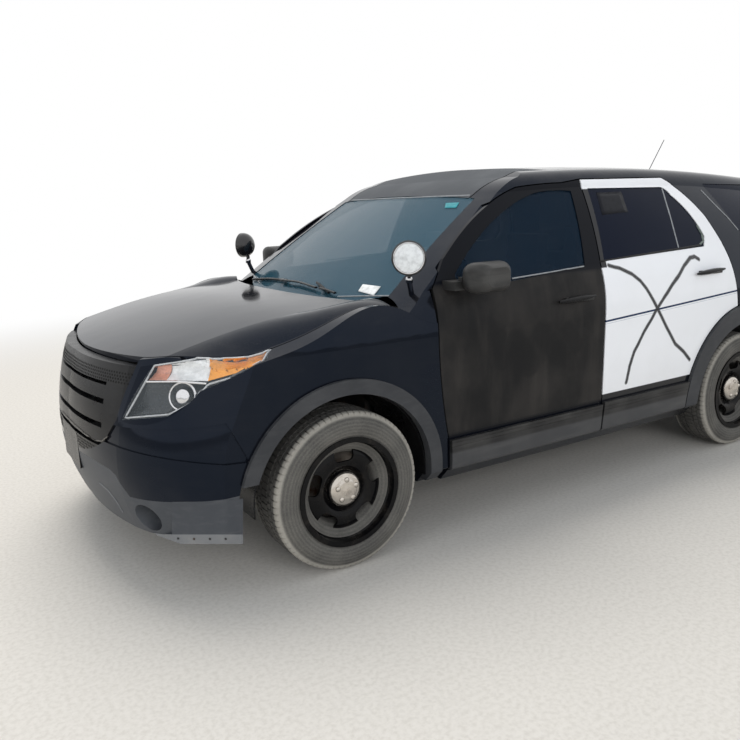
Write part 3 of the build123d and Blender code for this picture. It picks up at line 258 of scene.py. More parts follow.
def white_door(sprayed):
    """The rear doors: white with a thin dark blue stripe, black below; the left one has a sprayed cross."""
    name = "white_door_sprayed" if sprayed else "white_door_paint"
    f = Finish(name, Specular_IOR_Level=0.4)
    grime = f.noise(4.0, 5.0).rise(0.45, 0.8) * 0.07 + f.z.rise(0.75, 0.5) * 0.07
    colour = f.blend(grime, (0.90, 0.905, 0.92), (0.50, 0.46, 0.41))
    tree = skin("rear_door_left")
    start, end = seat(tree, *STRIPE_AHEAD), seat(tree, *STRIPE_BEHIND)
    slope = (end.z - start.z) / (end.x - start.x)
    line = f.z - ((f.x - start.x) * slope + start.z)
    stripe = abs(line).rise(0.0062, 0.0044)
    pale = abs(line + 0.014).rise(0.0022, 0.0014)
    colour = f.blend(stripe, colour, (0.012, 0.030, 0.085))
    colour = f.blend(pale * 0.45, colour, (0.30, 0.34, 0.42))
    paint = 0.0
    if sprayed:
        wobble = f.noise(7.0, 2.0) * 0.012 - 0.006
        f.x, f.z = f.x + wobble, f.z + wobble
        runs = sprayed_line(tree, FALLING_LINE, 0.0055) + sprayed_line(tree, CLIMBING_LINE, 0.0065)
        marks = f.strokes(runs)
        speck = f.noise(260.0, 2.0).rise(0.30, 0.55)
        paint = marks * (0.86 + speck * 0.14)
        colour = f.blend(paint, colour, (0.008, 0.008, 0.009))
        f.x, f.y, f.z = f.parts(f.object)
    post_edge = (f.z - 1.24) * -0.132 - 0.058
    beside_glass = f.z.rise(1.205, 1.212) * f.z.rise(1.617, 1.612)
    post = (f.x - post_edge).rise(-0.016, -0.012) * beside_glass
    black = f.z.rise(0.537, 0.533).most(post)
    colour = f.blend(black, colour, BLACK)
    f.set(Base_Color=colour, Roughness=paint * 0.3 + 0.14)
    return f.material


def plastic(name, base, dust, rough, shine=0.25):
    """Moulded plastic with a fine grain, greyed by sun and dust."""
    f = Finish(name, Specular_IOR_Level=shine)
    worn = f.noise(6.0, 5.0).rise(0.35, 0.75)
    streak = f.noise(16.0, 3.0, (1, 1, 3)).rise(0.45, 0.8)
    lying = f.upward().rise(-0.2, 0.9)
    cover = (worn * 0.45 + streak * 0.3) * (lying * 0.7 + 0.5)
    f.set(Base_Color=f.blend(cover, base, dust), Roughness=cover * 0.2 + rough)
    f.bump(f.noise(900.0, 2.0), 0.12, 0.0006)
    return f.material


def step_moulding():
    """The door trim: black moulding with two grooves and painted shade in them, a greyer step below and a
    dark mirror shell above.
    """
    f = Finish("step_moulding_plastic", Specular_IOR_Level=0.3)
    worn = f.noise(6.0, 5.0).rise(0.35, 0.75)
    streak = f.noise(13.0, 4.0, (0.3, 1, 2.5)).rise(0.4, 0.8)
    step = f.z.rise(0.428, 0.412)
    high = f.z.rise(0.9, 1.0)
    grooves = abs(f.z - 0.452).rise(0.004, 0.002).most(abs(f.z - 0.470).rise(0.004, 0.002)) * (1 - high)
    colour = f.blend(step, (0.014, 0.014, 0.015), (0.048, 0.049, 0.052))
    colour = f.blend(high, colour, (0.020, 0.020, 0.020))
    # The grooves are coloured darker than the moulding: painted shade in them
    colour = f.blend(grooves, colour, (0.004, 0.004, 0.004))
    colour = f.blend(worn * 0.16 + streak * 0.14, colour, (0.17, 0.165, 0.155))
    f.set(Base_Color=colour, Roughness=worn * 0.15 + 0.38)
    f.bump(grooves * -1.0 + f.noise(900.0, 2.0) * 0.05, 0.3, 0.003)
    return f.material


def glass(name, tint, cover, haze, shine=0.11):
    """Automotive glass: a tint that hides part of what is behind it, and a film of dust."""
    # The blue tint on the reflections is a painted sky reflection
    f = Finish(name, Specular_IOR_Level=shine, Specular_Tint=(0.45, 0.62, 1.0))
    film = f.noise(3.0, 5.0).rise(0.4, 0.8) * haze
    specks = f.noise(120.0, 2.0).rise(0.5, 0.8) * haze * 0.6
    dust = film + specks
    f.set(Base_Color=f.blend(dust, tint, DUST), Alpha=dust * 0.6 + cover, Roughness=film * 0.5 + 0.02)
    return f.material


# Pixels around the left headlamp; the corners are those along its nose end and its foot
LAMP_EDGE = ((154.8, 360.7), (180.3, 357.5), (215.4, 354.3), (271.3, 346.3), (263.3, 361.5), (239.4, 375.8),
             (209.0, 385.4), (191.5, 404.5), (167.6, 415.7), (122.9, 418.9), (154.8, 360.7))
LAMP_CORNERS = (LAMP_EDGE[0], LAMP_EDGE[9], LAMP_EDGE[8], LAMP_EDGE[7])


def lamp_cover():
    """Clear lamp cover; beyond the bezel the moulding behind it is black."""
    # SKY_TINT on the reflections is a painted sky reflection
    f = Finish("lamp_cover", Specular_IOR_Level=0.16, Specular_Tint=SKY_TINT)
    tree = skin("headlamps")
    top, corner, low, rear = (seat(tree, *at) for at in LAMP_CORNERS)
    side = abs(f.y)
    lean = (corner.y - top.y) / (corner.z - top.z)
    outside = ((f.z - top.z) * lean + top.y - side).rise(0.002, 0.004)
    for a, b in ((corner, low), (low, rear)):
        under = (side - a.y) * ((b.z - a.z) / (b.y - a.y)) + a.z - f.z
        outside = outside.most(under.rise(0.002, 0.004))
    film = f.noise(3.0, 5.0).rise(0.4, 0.8) * 0.12
    f.set(Base_Color=f.blend(outside, f.blend(film, (0.50, 0.55, 0.58), DUST), BLACK),
          Alpha=(film * 0.6 + 0.08).most(outside), Roughness=film * 0.5 + 0.02)
    return f.material


def tyre_rubber():
    """Tyre: brown-grey sidewall with rings, paler dust on its shoulder and tread."""
    f = Finish("dusty_tyre_rubber")
    across = abs(abs(f.y) - HALF_TRACK)
    dx = abs(f.x - (FRONT_AXLE + REAR_AXLE) / 2) - (FRONT_AXLE - REAR_AXLE) / 2
    dz = f.z - WHEEL_Z
    reach = (dx * dx + dz * dz).root()
    shoulder = across.between(0.088, 0.1135, 0.006) * reach.rise(0.326, 0.340)
    patches = f.noise(7.0, 5.0).rise(0.25, 0.75)
    grains = f.noise(160.0, 3.0).rise(0.35, 0.75)
    rings = (reach * 420.0).sine() * 0.5 + 0.5
    cover = patches * 0.10 + grains * 0.08 + rings * 0.06 * reach.rise(0.335, 0.32) + 0.045 + shoulder * 0.46
    colour = f.blend(cover, (0.026, 0.026, 0.026), (0.50, 0.47, 0.41))
    f.set(Base_Color=colour, Roughness=cover * 0.1 + 0.80)
    f.bump(f.noise(420.0, 3.0), 0.35, 0.001)
    return f.material


def wheel_steel():
    """Wheel: black enamel disc and rim with dust in the corners, cast disc behind."""
    f = Finish("black_wheel_enamel", Specular_IOR_Level=0.12, Coat_Weight=0.06, Coat_Roughness=0.12)
    dirt = f.noise(14.0, 5.0).rise(0.45, 0.8)
    rotor = abs(f.y).rise(0.835, 0.83)
    colour = f.blend(dirt * 0.10, (0.004, 0.004, 0.0045), (0.16, 0.13, 0.10))
    colour = f.blend(rotor, colour, f.blend(dirt, (0.22, 0.20, 0.18), (0.10, 0.045, 0.02)))
    f.set(Base_Color=colour, Metallic=rotor * 0.8, Roughness=dirt * 0.25 + 0.16 + rotor * 0.25)
    return f.material


def metal(name, base, stain, rough, metallic, speck):
    """Bare or painted metal with stains and small pits."""
    f = Finish(name)
    stains = f.noise(22.0, 5.0).rise(0.45, 0.8)
    pits = f.noise(240.0, 3.0).rise(0.55, 0.8)
    cover = stains * 0.6 * speck + pits * 0.4 * speck
    colour = f.blend(cover, base, stain)
    f.set(Base_Color=colour, Metallic=metallic - cover * 0.7, Roughness=cover * 0.5 + rough)
    f.bump(pits, 0.08, 0.0006)
    return f.material


def cloth(name, base, thread):
    """Woven seat cloth: crossed threads, paler on their crowns."""
    f = Finish(name, Sheen_Weight=0.3)
    weave = 620 * 3.14  # radians a metre
    warp = (f.y * weave).sine() * 0.5 + 0.5
    weft = ((f.x + f.z) * weave).sine() * 0.5 + 0.5
    threads = warp.most(weft)
    worn = f.noise(8.0, 4.0).rise(0.4, 0.8)
    f.set(Base_Color=f.blend(threads * 0.5 + worn * 0.3, base, thread), Roughness=0.88)
    f.bump(threads, 0.25, 0.0008)
    return f.material


def plain(name, base, rough, metallic=0.0, **sockets):
    """A small moulded or pressed piece: colour that varies a little with handling."""
    f = Finish(name, Metallic=metallic, **sockets)
    hands = f.noise(45.0, 4.0).rise(0.35, 0.75)
    darker = tuple(c * 0.72 for c in base)
    f.set(Base_Color=f.blend(hands, base, darker), Roughness=hands * 0.12 + rough)
    return f.material


# Making pieces

def placed(name, data):
    """A new object in the scene."""
    obj = bpy.data.objects.new(name, data)
    bpy.context.scene.collection.objects.link(obj)
    return obj


def mesh_of(name, form):
    """The mesh of a bmesh, which is freed."""
    mesh = bpy.data.meshes.new(name)
    form.to_mesh(mesh)
    form.free()
    return mesh


def piece(name, form, finish, body, slot, *stands_for, crease=35):
    """A bmesh or mesh becomes a shaded piece that rides on a body."""
    mesh = mesh_of(name, form) if isinstance(form, bmesh.types.BMesh) else form
    mesh.name = name
    obj = placed(name, mesh)
    mesh.materials.clear()
    mesh.materials.append(finish)
    mesh.polygons.foreach_set("use_smooth", [True] * len(mesh.polygons))
    mesh.set_sharp_from_angle(angle=math.radians(crease))
    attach(obj, body)
    if stands_for:
        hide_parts(*stands_for)
    return obj


def outward(form):
    """The form with doubled points merged and its faces turned outwards."""
    bmesh.ops.remove_doubles(form, verts=form.verts, dist=1e-6)
    bmesh.ops.recalc_face_normals(form, faces=form.faces)
    return form


def skin(*names):
    """The faces of CAD nodes, to seat small pieces on."""
    verts, faces = [], []
    for name in names:
        mesh = cad[name].data
        base = len(verts)
        verts += [v.co.copy() for v in mesh.vertices]
        faces += [[base + i for i in p.vertices] for p in mesh.polygons]
    return BVHTree.FromPolygons(verts, faces)


def grid(rows, closed_rows=False, closed_columns=False):
    """A skin over rows of points."""
    form = bmesh.new()
    verts = [[form.verts.new(p) for p in row] for row in rows]
    tall, wide = len(verts), len(verts[0])
    for i in range(tall if closed_rows else tall - 1):
        for j in range(wide if closed_columns else wide - 1):
            a, b = verts[i], verts[(i + 1) % tall]
            form.faces.new((a[j], a[(j + 1) % wide], b[(j + 1) % wide], b[j]))
    return form


def lathe(profile, centre, axis, steps, closed=False):
    """Turns (radius, along) points about an axis through centre."""
    axis = Vector(axis).normalized()
    side = axis.orthogonal().normalized()
    other = axis.cross(side)
    rows = []
    for radius, along in profile:
        ring = []
        for k in range(steps):
            a = 2 * math.pi * k / steps
            spoke = side * math.cos(a) + other * math.sin(a)
            ring.append(Vector(centre) + axis * along + spoke * max(radius, 1e-5))
        rows.append(ring)
    return outward(grid(rows, closed, True))


def rod(points, radius, sides=8, flat=1.0):
    """A bar of round or flattened section along points, with flat ends."""
    points = [Vector(p) for p in points]
    rows = []
    for k, here in enumerate(points):
        along = (points[min(k + 1, len(points) - 1)] - points[max(k - 1, 0)]).normalized()
        across = along.cross(Vector((0, 0, 1))).normalized()
        rise = across.cross(along)
        r = radius[k] if isinstance(radius, (list, tuple)) else radius
        rows.append([here + (across * math.cos(a) + rise * math.sin(a) * flat) * r
                     for a in (2 * math.pi * s / sides for s in range(sides))])
    form = grid(rows, False, True)
    form.verts.ensure_lookup_table()
    form.faces.new([form.verts[i] for i in range(sides)])
    form.faces.new([form.verts[len(form.verts) - sides + i] for i in range(sides)])
    return outward(form)


def slab(centre, size, bevel):
    """A block with rounded edges."""
    form = bmesh.new()
    bmesh.ops.create_cube(form, size=1)
    bmesh.ops.scale(form, vec=size, verts=form.verts)
    bmesh.ops.bevel(form, geom=form.edges[:], offset=bevel, segments=3, profile=0.6, affect="EDGES")
    bmesh.ops.translate(form, vec=centre, verts=form.verts)
    return form


def join(*forms):
    """One form made of several."""
    whole = bmesh.new()
    for form in forms:
        mesh = mesh_of("part_of_a_piece", form)
        whole.from_mesh(mesh)
        bpy.data.meshes.remove(mesh)
    return whole


def flipped(form):
    """The same form on the car's other side."""
    twin = form.copy()
    bmesh.ops.scale(twin, vec=(1, -1, 1), verts=twin.verts)
    bmesh.ops.reverse_faces(twin, faces=twin.faces)
    return twin


def studs(name, places, kind, sizes, finish, body, slot):
    """Domes or hexagons at (place, outward direction) pairs, set out by Geometry Nodes."""
    mesh = bpy.data.meshes.new(name + "_places")
    mesh.from_pydata([tuple(p) for p, n in places], [], [])
    facing = mesh.attributes.new("facing", "FLOAT_VECTOR", "POINT")
    facing.data.foreach_set("vector", [c for p, n in places for c in n])
    obj = placed(name, mesh)
    tree = bpy.data.node_groups.new(name + "_tree", "GeometryNodeTree")
    tree.interface.new_socket("Places", in_out="INPUT", socket_type="NodeSocketGeometry")
    sockets = [tree.interface.new_socket(label, in_out="INPUT", socket_type="NodeSocketFloat")
               for label in ("Radius", "Height")]
    tree.interface.new_socket("Studs", in_out="OUTPUT", socket_type="NodeSocketGeometry")
    new, link = tree.nodes.new, tree.links.new
    begin, end = new("NodeGroupInput"), new("NodeGroupOutput")
    if kind == "dome":
        shape = new("GeometryNodeMeshUVSphere")
        shape.inputs["Segments"].default_value = 16
        shape.inputs["Rings"].default_value = 10
    else:
        shape = new("GeometryNodeMeshCylinder")
        shape.inputs["Vertices"].default_value = 6
        shape.inputs["Depth"].default_value = 2
    shape.inputs["Radius"].default_value = 1
    scale = new("ShaderNodeCombineXYZ")
    for k, socket in ((0, 1), (1, 1), (2, 2)):
        link(begin.outputs[socket], scale.inputs[k])
    attribute = new("GeometryNodeInputNamedAttribute")
    attribute.data_type = "FLOAT_VECTOR"
    attribute.inputs["Name"].default_value = "facing"
    align = new("FunctionNodeAlignRotationToVector")
    align.axis = "Z"
    link(attribute.outputs[0], align.inputs["Vector"])
    onto = new("GeometryNodeInstanceOnPoints")
    for source, socket in ((begin, "Points"), (shape, "Instance"), (align, "Rotation"), (scale, "Scale")):
        link(source.outputs[0], onto.inputs[socket])
    real = new("GeometryNodeRealizeInstances")
    coat = new("GeometryNodeSetMaterial")
    coat.inputs["Material"].default_value = finish
    for source, target in ((onto, real), (real, coat), (coat, end)):
        link(source.outputs[0], target.inputs[0])
    modifier = obj.modifiers.new("Studs", "NODES")
    modifier.node_group = tree
    for socket, value in zip(sockets, sizes):
        modifier[socket.identifier] = value
    done = bpy.data.meshes.new_from_object(obj.evaluated_get(bpy.context.evaluated_depsgraph_get()))
    bpy.data.objects.remove(obj)
    bpy.data.meshes.remove(mesh)
    piece(name, done, finish, body, slot)


# Places read through the photograph's viewpoint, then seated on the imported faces

def sight(u, v):
    """Viewpoint and direction of a pixel of the photograph."""
    turn = bpy.context.scene.camera.matrix_world
    ahead = Vector(((u - PICTURE / 2) / FOCAL, (PICTURE / 2 - v) / FOCAL, -1))
    return turn.translation.copy(), (turn.to_3x3() @ ahead).normalized()


def seat(tree, u, v, proud=0.0):
    """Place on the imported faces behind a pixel, or nearest its ray, lifted off them by proud."""
    start, ahead = sight(u, v)
    hit, normal, index, distance = tree.ray_cast(start, ahead)
    if hit is None:
        reach = 3.0
        for step in range(6):
            hit, normal, index, distance = tree.find_nearest(start + ahead * reach)
            reach = (hit - start).dot(ahead)
    return hit + normal * proud


def polyline(pixels, count):
    """Places evenly along a line of pixels."""
    points = [Vector(p) for p in pixels]
    lengths = [(b - a).length for a, b in zip(points, points[1:])]
    total, out = sum(lengths), []
    for k in range(count):
        left, j = total * k / (count - 1), 0
        while j < len(lengths) - 1 and left > lengths[j]:
            left -= lengths[j]
            j += 1
        out.append(points[j].lerp(points[j + 1], min(left / max(lengths[j], 1e-9), 1)))
    return out


def traced(tree, pixels, count, proud):
    """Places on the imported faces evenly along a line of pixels."""
    return [seat(tree, u, v, proud) for u, v in polyline(pixels, count)]


def patch(tree, top, bottom, proud, across, down, hollow=0.0):
    """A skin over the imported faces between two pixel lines, sunk by hollow halfway down."""
    upper, lower = polyline(top, across), polyline(bottom, across)
    rows = []
    for i in range(down):
        t = i / (down - 1)
        lift = proud - hollow * math.sin(math.pi * t)
        pixels = [high.lerp(low, t) for high, low in zip(upper, lower)]
        rows.append([seat(tree, u, v, lift) for u, v in pixels])
    return grid(rows)


def thick(obj, depth):
    """Gives a skin its wall, inwards."""
    solid = obj.modifiers.new("Wall", "SOLIDIFY")
    solid.thickness = depth
    solid.offset = -1.0


def mirrored_pair(name, form, finish, body, slot):
    """The left piece and its mirror image, on a body pair or on one body."""
    twin = flipped(form)
    piece(name + "_left", form, finish, body, slot)
    piece(name + "_right", twin, finish, body.replace("left", "right"), slot)


# Camera, light and floor

def place_camera():
    """The photograph's camera."""
    yaw, pitch, roll = (math.radians(a) for a in (YAW, PITCH, ROLL))
    forward = Vector((math.cos(yaw) * math.cos(pitch), math.sin(yaw) * math.cos(pitch), math.sin(pitch)))
    level = Vector((math.sin(yaw), -math.cos(yaw), 0))
    rise = level.cross(forward)
    right = level * math.cos(roll) + rise * math.sin(roll)
    up = rise * math.cos(roll) - level * math.sin(roll)
    lens = bpy.data.cameras.new("photo_camera")
    lens.sensor_width = 36
    lens.lens = FOCAL / PICTURE * lens.sensor_width
    lens.clip_start = 0.05
    camera = placed("photo_camera", lens)
    turn = Matrix((right, up, -forward)).transposed().to_4x4()
    camera.matrix_world = Matrix.Translation(VIEWPOINT) @ turn
    bpy.context.scene.camera = camera


def lamp(name, place, target, size, power, colour):
    """An area light that reflections don't show."""
    light = bpy.data.lights.new(name, "AREA")
    light.shape = "RECTANGLE"
    light.size, light.size_y = size
    light.energy = power
    light.color = colour
    obj = placed(name, light)
    aim = (Vector(target) - Vector(place)).to_track_quat("-Z", "Y").to_matrix().to_4x4()
    obj.matrix_world = Matrix.Translation(place) @ aim
    obj.visible_glossy = False


def light_and_floor():
    """Three soft lights, a pale surround that looks white, and a sandy floor that fades into it."""
    lamp("high_key_light", (0.5, -3.5, 9.5), (0, 0, 0.4), (7.0, 7.0), 900, (1.0, 0.97, 0.93))
    lamp("side_fill_light", (2.5, 9.0, 3.6), (0.2, 0.8, 0.8), (8.0, 3.5), 300, (0.95, 0.97, 1.0))
    lamp("nose_fill_light", (9.0, 1.5, 2.8), (2.2, 0, 0.7), (4.5, 2.5), 110, (1.0, 1.0, 1.0))
    world = bpy.data.worlds.new("studio_surround")
    bpy.context.scene.world = world
    world.use_nodes = True
    tree = world.node_tree
    tree.nodes.clear()
    new, link = tree.nodes.new, tree.links.new
    rays = new("ShaderNodeLightPath")
    seen = rays.outputs["Is Camera Ray"]
    for kind in ("Is Glossy Ray", "Is Transmission Ray"):
        either = new("ShaderNodeMath")
        either.operation = "MAXIMUM"
        link(seen, either.inputs[0])
        link(rays.outputs[kind], either.inputs[1])
        seen = either.outputs[0]
    choice, out = new("ShaderNodeMixShader"), new("ShaderNodeOutputWorld")
    link(seen, choice.inputs[0])
    for socket, colour, strength in ((1, (0.86, 0.92, 1.0, 1), 0.55), (2, (1, 1, 1, 1), 1.0)):
        sky = new("ShaderNodeBackground")
        sky.inputs[0].default_value = colour
        sky.inputs[1].default_value = strength
        link(sky.outputs[0], choice.inputs[socket])
    link(choice.outputs[0], out.inputs[0])
    form = bmesh.new()
    bmesh.ops.create_grid(form, x_segments=1, y_segments=1, size=30)
    floor = placed("studio_floor", mesh_of("studio_floor", form))
    sand = Finish("pale_floor")
    grain = sand.noise(55.0, 4.0).rise(0.35, 0.75)
    sand.set(Base_Color=sand.blend(grain, (0.66, 0.63, 0.58), (0.58, 0.55, 0.50)), Roughness=0.9)
    away = (sand.x * sand.x + sand.y * sand.y).root().rise(4.2, 9.0)
    seen = sand.add("ShaderNodeLightPath", {}, {}, "Is Camera Ray")
    glow = sand.add("ShaderNodeEmission", {}, {"Color": (1.0, 1.0, 1.0), "Strength": 1.0})
    surface = Value(sand, sand.shader.outputs[0])
    mix = sand.add("ShaderNodeMixShader", {}, {0: away * seen, 1: surface, 2: glow})
    sand.tree.links.new(mix.socket, sand.output.inputs[0])
    floor.data.materials.append(sand.material)


place_camera()
light_and_floor()
bpy.context.scene.view_settings.view_transform = "Standard"


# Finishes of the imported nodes

PAINT = black_paint("patrol_black_paint")
GREY = plastic("grey_moulding", BARE_GREY, (0.15, 0.15, 0.155), 0.45)
ARCH = plastic("grey_arch_moulding", (0.036, 0.038, 0.042), (0.11, 0.11, 0.112), 0.48)
DARK = plastic("black_moulding", (0.004, 0.004, 0.005), (0.026, 0.026, 0.026), 0.26, shine=0.18)
STEP = step_moulding()
CHASSIS = metal("painted_chassis_steel", (0.020, 0.020, 0.021), (0.12, 0.07, 0.04), 0.5, 0.1, 0.8)
CAST = metal("cast_engine_alloy", (0.24, 0.24, 0.25), (0.10, 0.08, 0.06), 0.5, 0.9, 0.6)
EXHAUST = metal("exhaust_steel", (0.38, 0.35, 0.32), (0.20, 0.10, 0.05), 0.38, 1.0, 0.7)
CHROME = metal("bright_chrome", (0.82, 0.82, 0.84), (0.40, 0.34, 0.28), 0.08, 1.0, 0.35)
CLEAR = glass("clear_side_glass", (0.006, 0.018, 0.034), 0.55, 0.03)
SCREEN = glass("windscreen_glass", (0.030, 0.095, 0.135), 0.50, 0.07, shine=0.35)
TINTED = glass("dark_tinted_glass", (0.003, 0.005, 0.014), 0.95, 0.010)
LAMP_COVER = lamp_cover()
RUBBER = tyre_rubber()
WHEEL = wheel_steel()
SEAT_CLOTH = cloth("dark_seat_cloth", (0.020, 0.021, 0.024), (0.060, 0.062, 0.068))
CABIN = plastic("cabin_moulding", (0.020, 0.021, 0.023), (0.07, 0.07, 0.07), 0.6)
RED_LENS = plain("red_lamp_lens", (0.26, 0.010, 0.012), 0.08, Coat_Weight=0.8, Coat_Roughness=0.03)
LAMP_BOWL = plain("lamp_bowl_enamel", (0.010, 0.010, 0.011), 0.15, Coat_Weight=0.5, Coat_Roughness=0.05)


def pair(*names):
    """The left and right node of each name."""
    return [f"{name}_{side}" for name in names for side, sign in SIDES]


FINISHES = {
    PAINT: pair("body_side", "front_fender") + ["front_bumper", "bonnet", "liftgate", "front_door_right"],
    GREY: ["front_valance"],
    ARCH: ["arch_trims"],
    DARK: ["grille", "cowl", "plate_bracket", "wheel_liners"],
    STEP: pair("front_door_trim", "rear_door_trim"),
    CHASSIS: pair("knuckle") + ["floor_pan", "front_suspension", "rear_suspension", "radiator", "fuel_tank"],
    CAST: ["engine"],
    EXHAUST: ["exhaust"],
    CLEAR: pair("front_door_glass"),
    SCREEN: ["windscreen"],
    TINTED: pair("rear_door_glass") + ["quarter_glasses", "liftgate_glass"],
    RUBBER: pair("tyre_front", "tyre_rear"),
    WHEEL: pair("wheel_front", "wheel_rear"),
    SEAT_CLOTH: ["front_seats", "rear_bench"],
    CABIN: ["dashboard", "steering_wheel"],
    RED_LENS: ["tail_lamps"],
    LAMP_BOWL: pair("spotlight"),
    LAMP_COVER: ["headlamps"],
    black_paint("rear_bumper_paint", moulded=0.50): ["rear_bumper"],
    black_paint("dusty_roof_paint", roof=True): ["roof_panel"],
    faded_door(): ["front_door_left"],
    white_door(True): ["rear_door_left"],
    white_door(False): ["rear_door_right"],
}
for finish, names in FINISHES.items():
    for name in names:
        slots = cad[name].data.materials
        if not slots:
            slots.append(finish)
        for k in range(len(slots)):
            slots[k] = finish


# Tyres and wheels

def bow(a, b, c, count):
    """Points of the arc from a to c through b."""
    ax, ay, bx, by, cx, cy = *a, *b, *c
    d = 2 * (ax * (by - cy) + bx * (cy - ay) + cx * (ay - by))
    aa, bb, cc = ax * ax + ay * ay, bx * bx + by * by, cx * cx + cy * cy
    ux = (aa * (by - cy) + bb * (cy - ay) + cc * (ay - by)) / d
    uy = (aa * (cx - bx) + bb * (ax - cx) + cc * (bx - ax)) / d
    first = math.atan2(ay - uy, ax - ux)
    turn = math.remainder(math.atan2(cy - uy, cx - ux) - first, 2 * math.pi)
    r = math.hypot(ax - ux, ay - uy)
    return [(ux + r * math.cos(first + turn * k / count), uy + r * math.sin(first + turn * k / count))
            for k in range(1, count + 1)]


PITCHES = 76
GROOVE = 0.007
SIPE = 0.0055
SHOULDER_CUT = 0.003
CROWN = 0.002
TREAD_HALF = 0.0825
RIBS = ((0.0, 0.0255), (0.0345, 0.0590), (0.0680, 0.0900))
SHOULDER = 3
SMOOTH = -1
SHIFTS = {0: 0.0, 1: 0.5, 2: 0.2, SHOULDER: 0.2, SMOOTH: 0.1}
BEAD_Y = 0.0885
WALL_STEP = 0.0004
WALL_RINGS = {3: 0.0, 4: 0.0012, 7: 0.0, 18: 0.0, 19: 0.0012, 22: 0.0, 24: 0.0}


def tyre_form(axle, side):
    """Road tyre: three grooves a side, siped ribs, a block shoulder and rings on its wall."""
    half = []
    for k, (near, far) in enumerate(RIBS):
        for y in ((near, far) if k else (far,)):
            half.append((y, TYRE_RADIUS - CROWN * (y / TREAD_HALF) ** 2, k))
        if k < 2:
            for y in (far + 0.0008, RIBS[k + 1][0] - 0.0008):
                half.append((y, TYRE_RADIUS - GROOVE, SMOOTH))
    half += [(0.0975, 0.3540, 2), (0.1035, 0.3505, 2), (0.1065, 0.3440, SHOULDER), (0.1085, 0.3360, SMOOTH)]
    wall = bow((0.1085, 0.336), (0.1245, 0.296), (0.1005, RIM_RADIUS), 26)
    for k, (y, r) in enumerate(wall):
        half.append((y - WALL_RINGS.get(k, WALL_STEP), r, SMOOTH))
    inner = bow((BEAD_Y, RIM_RADIUS), (0.0, 0.332), (-BEAD_Y, RIM_RADIUS), 10)
    rows = [(-y, r, kind) for y, r, kind in reversed(half)] + half
    rows += [(y, r, SMOOTH) for y, r in [(BEAD_Y, RIM_RADIUS)] + inner]
    steps = [(p + f) / PITCHES for p in range(PITCHES) for f in (0.0, 0.06, 0.16, 0.22)]
    out = []
    for y, r, kind in rows:
        shift = SHIFTS[kind] * (1 if y > 0 else -1)
        cut = SHOULDER_CUT if kind == SHOULDER else SIPE
        across = side * HALF_TRACK + y * side
        ring = []
        for k, step in enumerate(steps):
            a = 2 * math.pi * (step + shift / PITCHES)
            deep = r - cut if k % 4 in (1, 2) and kind != SMOOTH else r
            ring.append((axle + deep * math.cos(a), across, WHEEL_Z + deep * math.sin(a)))
        out.append(ring)
    return outward(grid(out, True, True))


# Profile of a wheel cap: radius, and distance from the car's middle
CAP = [(0.0832, 0.8855), (0.0832, 0.8958), (0.0814, 0.9095), (0.0774, 0.9222), (0.0716, 0.9290),
       (0.0650, 0.9330), (0.0560, 0.9358), (0.0500, 0.9366), (0.0440, 0.9396), (0.0330, 0.9412),
       (0.0260, 0.9406), (0.0150, 0.9440), (0.0, 0.9448)]
NUT_CIRCLE = 0.047
NUT_FACE = 0.9370


def wheels():
    """Each wheel's tyre with its tread, bright cap and five nut bumps."""
    for end, axle in (("front", FRONT_AXLE), ("rear", REAR_AXLE)):
        for side, sign in SIDES:
            tag = f"{end}_{side}"
            body = "wheel_" + tag
            piece("tread_tyre_" + tag, tyre_form(axle, sign), RUBBER, body, "tyre", f"tyre_{tag}", crease=28)
            dome = lathe(CAP, (axle, 0, WHEEL_Z), (0, sign, 0), 72)
            piece("chrome_cap_" + tag, dome, CAP_CHROME, body, "chrome")
            spots = []
            for k in range(5):
                a = math.radians(90 + 72 * k)
                x, z = axle + NUT_CIRCLE * math.cos(a), WHEEL_Z + NUT_CIRCLE * math.sin(a)
                spots.append((Vector((x, sign * NUT_FACE, z)), Vector((0, sign, 0))))
            studs("cap_nut_bumps_" + tag, spots, "dome", (0.0125, 0.0075), CAP_CHROME, body, "chrome")


# Seats

def cushioned(node):
    """A seat's packed blocks become crowned cushions."""
    mesh = cad[node].data.copy()
    form = bmesh.new()
    form.from_mesh(mesh)
    bmesh.ops.remove_doubles(form, verts=form.verts, dist=1e-5)
    form.to_mesh(mesh)
    form.free()
    obj = placed(node + "_source", mesh)
    remesh = obj.modifiers.new("Even", "REMESH")
    remesh.mode = "VOXEL"
    remesh.voxel_size = 0.014
    smooth = obj.modifiers.new("Crown", "SMOOTH")
    smooth.factor = 0.5
    smooth.iterations = 9
    done = bpy.data.meshes.new_from_object(obj.evaluated_get(bpy.context.evaluated_depsgraph_get()))
    bpy.data.objects.remove(obj)
    cushion = piece(node + "_cushions", done, SEAT_CLOTH, "body", "fabric", node, crease=80)


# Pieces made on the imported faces, along lines of the photograph's pixels

def bead(name, pixels, tree, radius, finish, body, slot, proud, both=True, flat=1.0):
    """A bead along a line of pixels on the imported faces, and its mirror image on the other side."""
    form = rod(traced(tree, pixels, 40, proud), radius, 8, flat)
    if both:
        mirrored_pair(name, form, finish, body, slot)
    else:
        piece(name, form, finish, body, slot)


FAR_BLADE = ((254, 280.5), (270, 280.0), (288, 281.5))
FAR_ARM = ((282, 282.5), (300, 284.5), (318, 290.5))
NEAR_BLADE = ((318, 284.0), (324, 289.0), (330, 294.0))
NEAR_ARM = ((322, 291.0), (330, 293.5), (337, 296.0))
HEADER_LINE = ((352, 200.5), (390, 198.6), (430, 197.0), (470, 195.5))
COWL_EDGE = ((338, 296.8), (355, 296.4), (372, 296.2), (389, 296.0))
CARD_TOP, CARD_FOOT = ((363.1, 284.7), (381.1, 287.0)), ((358.4, 291.7), (374.0, 296.0))
TAG_TOP, TAG_FOOT = ((446.0, 203.2), (459.5, 202.6)), ((444.6, 208.3), (456.0, 208.0))


